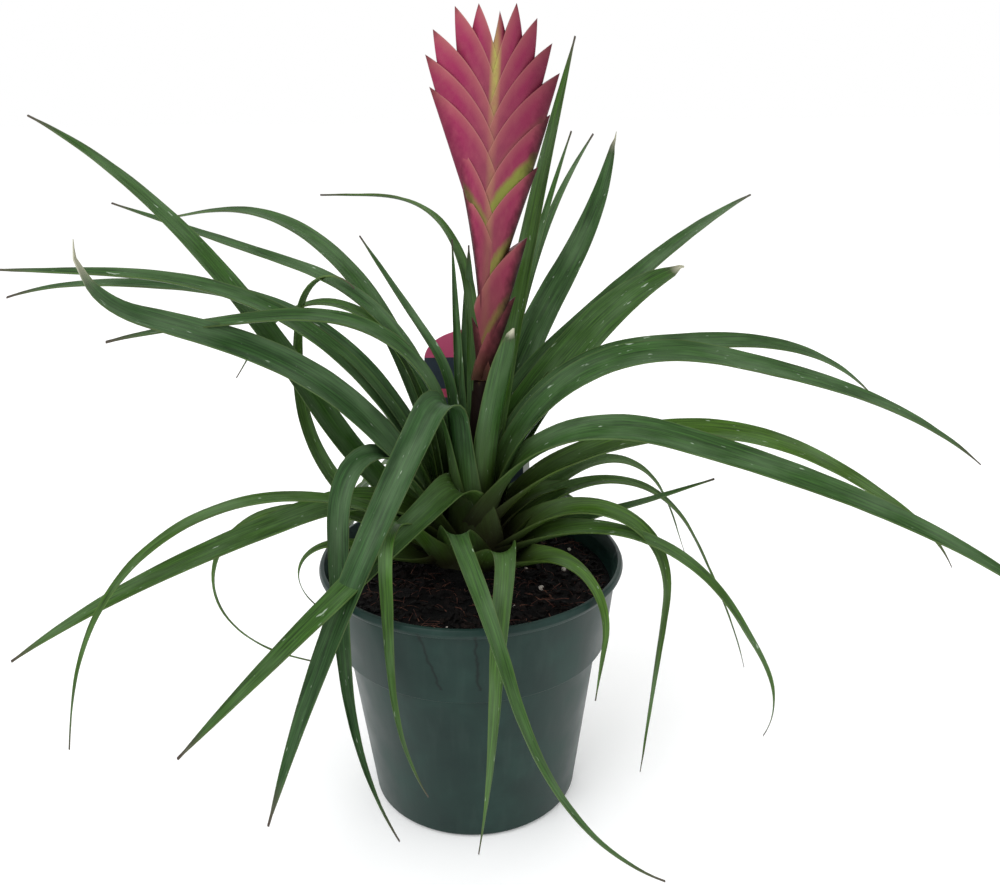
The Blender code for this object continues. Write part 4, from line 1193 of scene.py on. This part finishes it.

# %% [markdown]
# The bracts are satin. Each is deep magenta in the middle and is clouded with a duller rose. Over that lie,
# in this order, a brownish band and a pale line along the margin, painted shade that darkens the +X flank,
# yellow-green above the next lower bract and beside the axis, brown at the spike's foot, maroon on the keels,
# and a dark point.

# %% Finish of the bracts


def make_bract_pink():
    made, tree, shader = new_material("satin bract", IOR=1.45, Roughness=0.5, Specular_IOR_Level=0.1)
    named = {
        name: add_node(tree, "Attribute", attribute_name=name, attribute_type="GEOMETRY").outputs
        for name in ("bract_place", "bract_look", "bract_tint", "bract_axis")
    }
    place, axis = named["bract_place"]["Vector"], named["bract_axis"]["Fac"]
    margin = add_node(tree, "SeparateXYZ", {"Vector": place}).outputs["X"]
    looks = add_node(tree, "SeparateXYZ", {"Vector": named["bract_look"]["Vector"]}).outputs
    tints = add_node(tree, "SeparateXYZ", {"Vector": named["bract_tint"]["Vector"]}).outputs
    clouds = add_node(tree, "TexNoise", {"Vector": place, "Scale": 0.22, "Detail": 4.0}).outputs["Fac"]
    rose = add_node(tree, "ValToRGB", {"Fac": looks["X"]}, stops=[
        (0.30, "7c3a4a"), (0.62, "852a4c"), (0.86, "8f3050"), (1.0, "8a3046"),
    ])
    wander = add_node(tree, "Math", {0: clouds, 1: 5.0, 2: -2.5}, operation="MULTIPLY_ADD").outputs[0]
    above = add_node(tree, "Math", {0: looks["Z"], 1: wander}, operation="ADD").outputs[0]
    beyond = add_node(tree, "Math", {0: above, 1: tints["X"]}, operation="SUBTRACT").outputs[0]
    has_band = add_node(tree, "MapRange", {
        "Value": tints["X"], "From Max": 4.0, "To Max": 0.9,
    }).outputs["Result"]
    uncovered = add_node(tree, "MapRange", {
        "Value": looks["Z"], "From Min": -3.0, "From Max": -0.5, "To Min": 0.0, "To Max": has_band,
    }).outputs["Result"]
    below_tip = add_node(tree, "MapRange", {
        "Value": looks["X"], "From Min": 0.45, "From Max": 0.95, "To Min": tints["Y"], "To Max": 0.0,
    }).outputs["Result"]
    to_keel = add_node(tree, "Math", {0: clouds, 1: 9.0, 2: looks["Y"]}, operation="MULTIPLY_ADD").outputs[0]
    placed = add_node(tree, "SeparateXYZ", {"Vector": add_node(tree, "TexCoord").outputs["Object"]}).outputs
    skin = lay_over(tree, rose.outputs["Color"], [
        (clouds, 0.42, 0.72, 0.0, 0.5, "8d4453"),
        (margin, 0.4, 4.6, 0.65, 0.0, "9a5a59"),
        (margin, 0.1, 0.7, 0.2, 0.0, "b38a7c"),
        # painted shade: the +X flank, turned away from the window light, is darkened
        (placed["X"], 8 * MM, 34 * MM, 0.0, 0.6, "5e2031"),
        (beyond, -1.5, 2.5, uncovered, 0.0, "6f7a31"),
        (axis, 0.3, 2.6, below_tip, 0.0, "9c9c4e"),
        (placed["Z"], 228 * MM, 312 * MM, 0.75, 0.0, "5a2b29"),
        (placed["Z"], 226 * MM, 238 * MM, 0.8, 0.0, "41331f"),
        (to_keel, 5.5, 13.0, tints["Z"], 0.0, "26100f"),
        (looks["X"], 0.93, 1.0, 0.0, 0.8, "54242a"),
    ])
    veins = drawn_noise(tree, place, (1.0, 0.06, 1.0), 1.4, 3.0)
    finish_skin(tree, shader, skin, veins, 0.25, 0.2 * MM)
    return made


finish_piece("pink_quill", quill, make_bract_pink(), 50, "quill_bracts")

# %% [markdown]
# ## The care card
#
# Growers push a printed plastic card into the pot: a pink head over a dark panel that a pink line crosses,
# with a white border on the right and below. Its outline is one face, extruded to its thickness and tilted
# back about the stake's tip. The fields of colour are drawn by the card's own UV map, one unit to a card's
# width.

# %% Card
CARD_WIDTH = 56 * MM
CARD_FOOT = 138 * MM
CARD_TOP = 231 * MM
CARD_CENTRE_X = 5 * MM
CARD_THICKNESS = 0.8 * MM
CARD_ARCH = 16 * MM
CARD_NECK = CARD_FOOT - 8 * MM
CARD_SHOULDER = CARD_FOOT + 6 * MM
STAKE_WIDTH = 16 * MM
STAKE_POINT = 10 * MM
STAKE_TIP = 70 * MM
CARD_Y_AT_TIP = 52 * MM
CARD_TILT = math.radians(6)
ARCH_STEPS = 40
PRINT_TOP = (CARD_TOP - CARD_FOOT) / CARD_WIDTH

half, stake = CARD_WIDTH / 2, STAKE_WIDTH / 2
outline = [
    (0.0, STAKE_TIP),
    (stake, STAKE_TIP + STAKE_POINT),
    (stake, CARD_NECK),
    (half, CARD_SHOULDER),
]
for step in range(ARCH_STEPS + 1):
    angle = math.pi * step / ARCH_STEPS
    outline.append((half * math.cos(angle), CARD_TOP - CARD_ARCH * (1.0 - math.sin(angle))))
outline += [(-x, z) for x, z in outline[1:4][::-1]]

card = bmesh.new()
card_uv = card.loops.layers.uv.new("card")
face = card.faces.new([card.verts.new((x, -CARD_THICKNESS / 2, z)) for x, z in outline])
raised = bmesh.ops.extrude_face_region(card, geom=[face])["geom"]
back = [item for item in raised if isinstance(item, bmesh.types.BMVert)]
bmesh.ops.translate(card, vec=(0, CARD_THICKNESS, 0), verts=back)
bmesh.ops.recalc_face_normals(card, faces=card.faces)
for flat_face in card.faces:
    for loop in flat_face.loops:
        loop[card_uv].uv = (loop.vert.co.x / CARD_WIDTH, (loop.vert.co.z - CARD_FOOT) / CARD_WIDTH)
pivot = Matrix.Translation((CARD_CENTRE_X, CARD_Y_AT_TIP, STAKE_TIP))
tilted = pivot @ Matrix.Rotation(-CARD_TILT, 4, "X") @ Matrix.Translation((0, 0, -STAKE_TIP))
bmesh.ops.transform(card, matrix=tilted, verts=card.verts)
print("the card is", CARD_WIDTH / MM, "mm wide")

# %% [markdown]
# Printed polystyrene card has an even gloss and flat inks.

# %% Finish of the card


def make_card_print():
    made, tree, shader = new_material("printed polystyrene card", IOR=1.59, Roughness=0.3)
    place = add_node(tree, "UVMap", uv_map="card").outputs["UV"]
    spot = add_node(tree, "SeparateXYZ", {"Vector": place})
    printed = add_node(tree, "MapRange", {"Value": spot.outputs["Y"], "From Max": PRINT_TOP})
    level = add_node(tree, "ValToRGB", {"Fac": printed.outputs["Result"]}, stops=[
        (0.0, "252e3a"), (0.60, "a63f5c"), (0.65, "252e3a"), (0.835, "b0466a"),
    ])
    level.color_ramp.interpolation = "CONSTANT"
    ink = lay_over(tree, level.outputs["Color"], [
        (spot.outputs["X"], 0.435, 0.44, 0.0, 1.0, "d8d9d6"),
        (spot.outputs["Y"], 0.08, 0.085, 1.0, 0.0, "d8d9d6"),
    ])
    tree.links.new(ink, shader.inputs["Base Color"])
    return made


finish_piece("care_card", card, make_card_print(), 30, "plant_label")
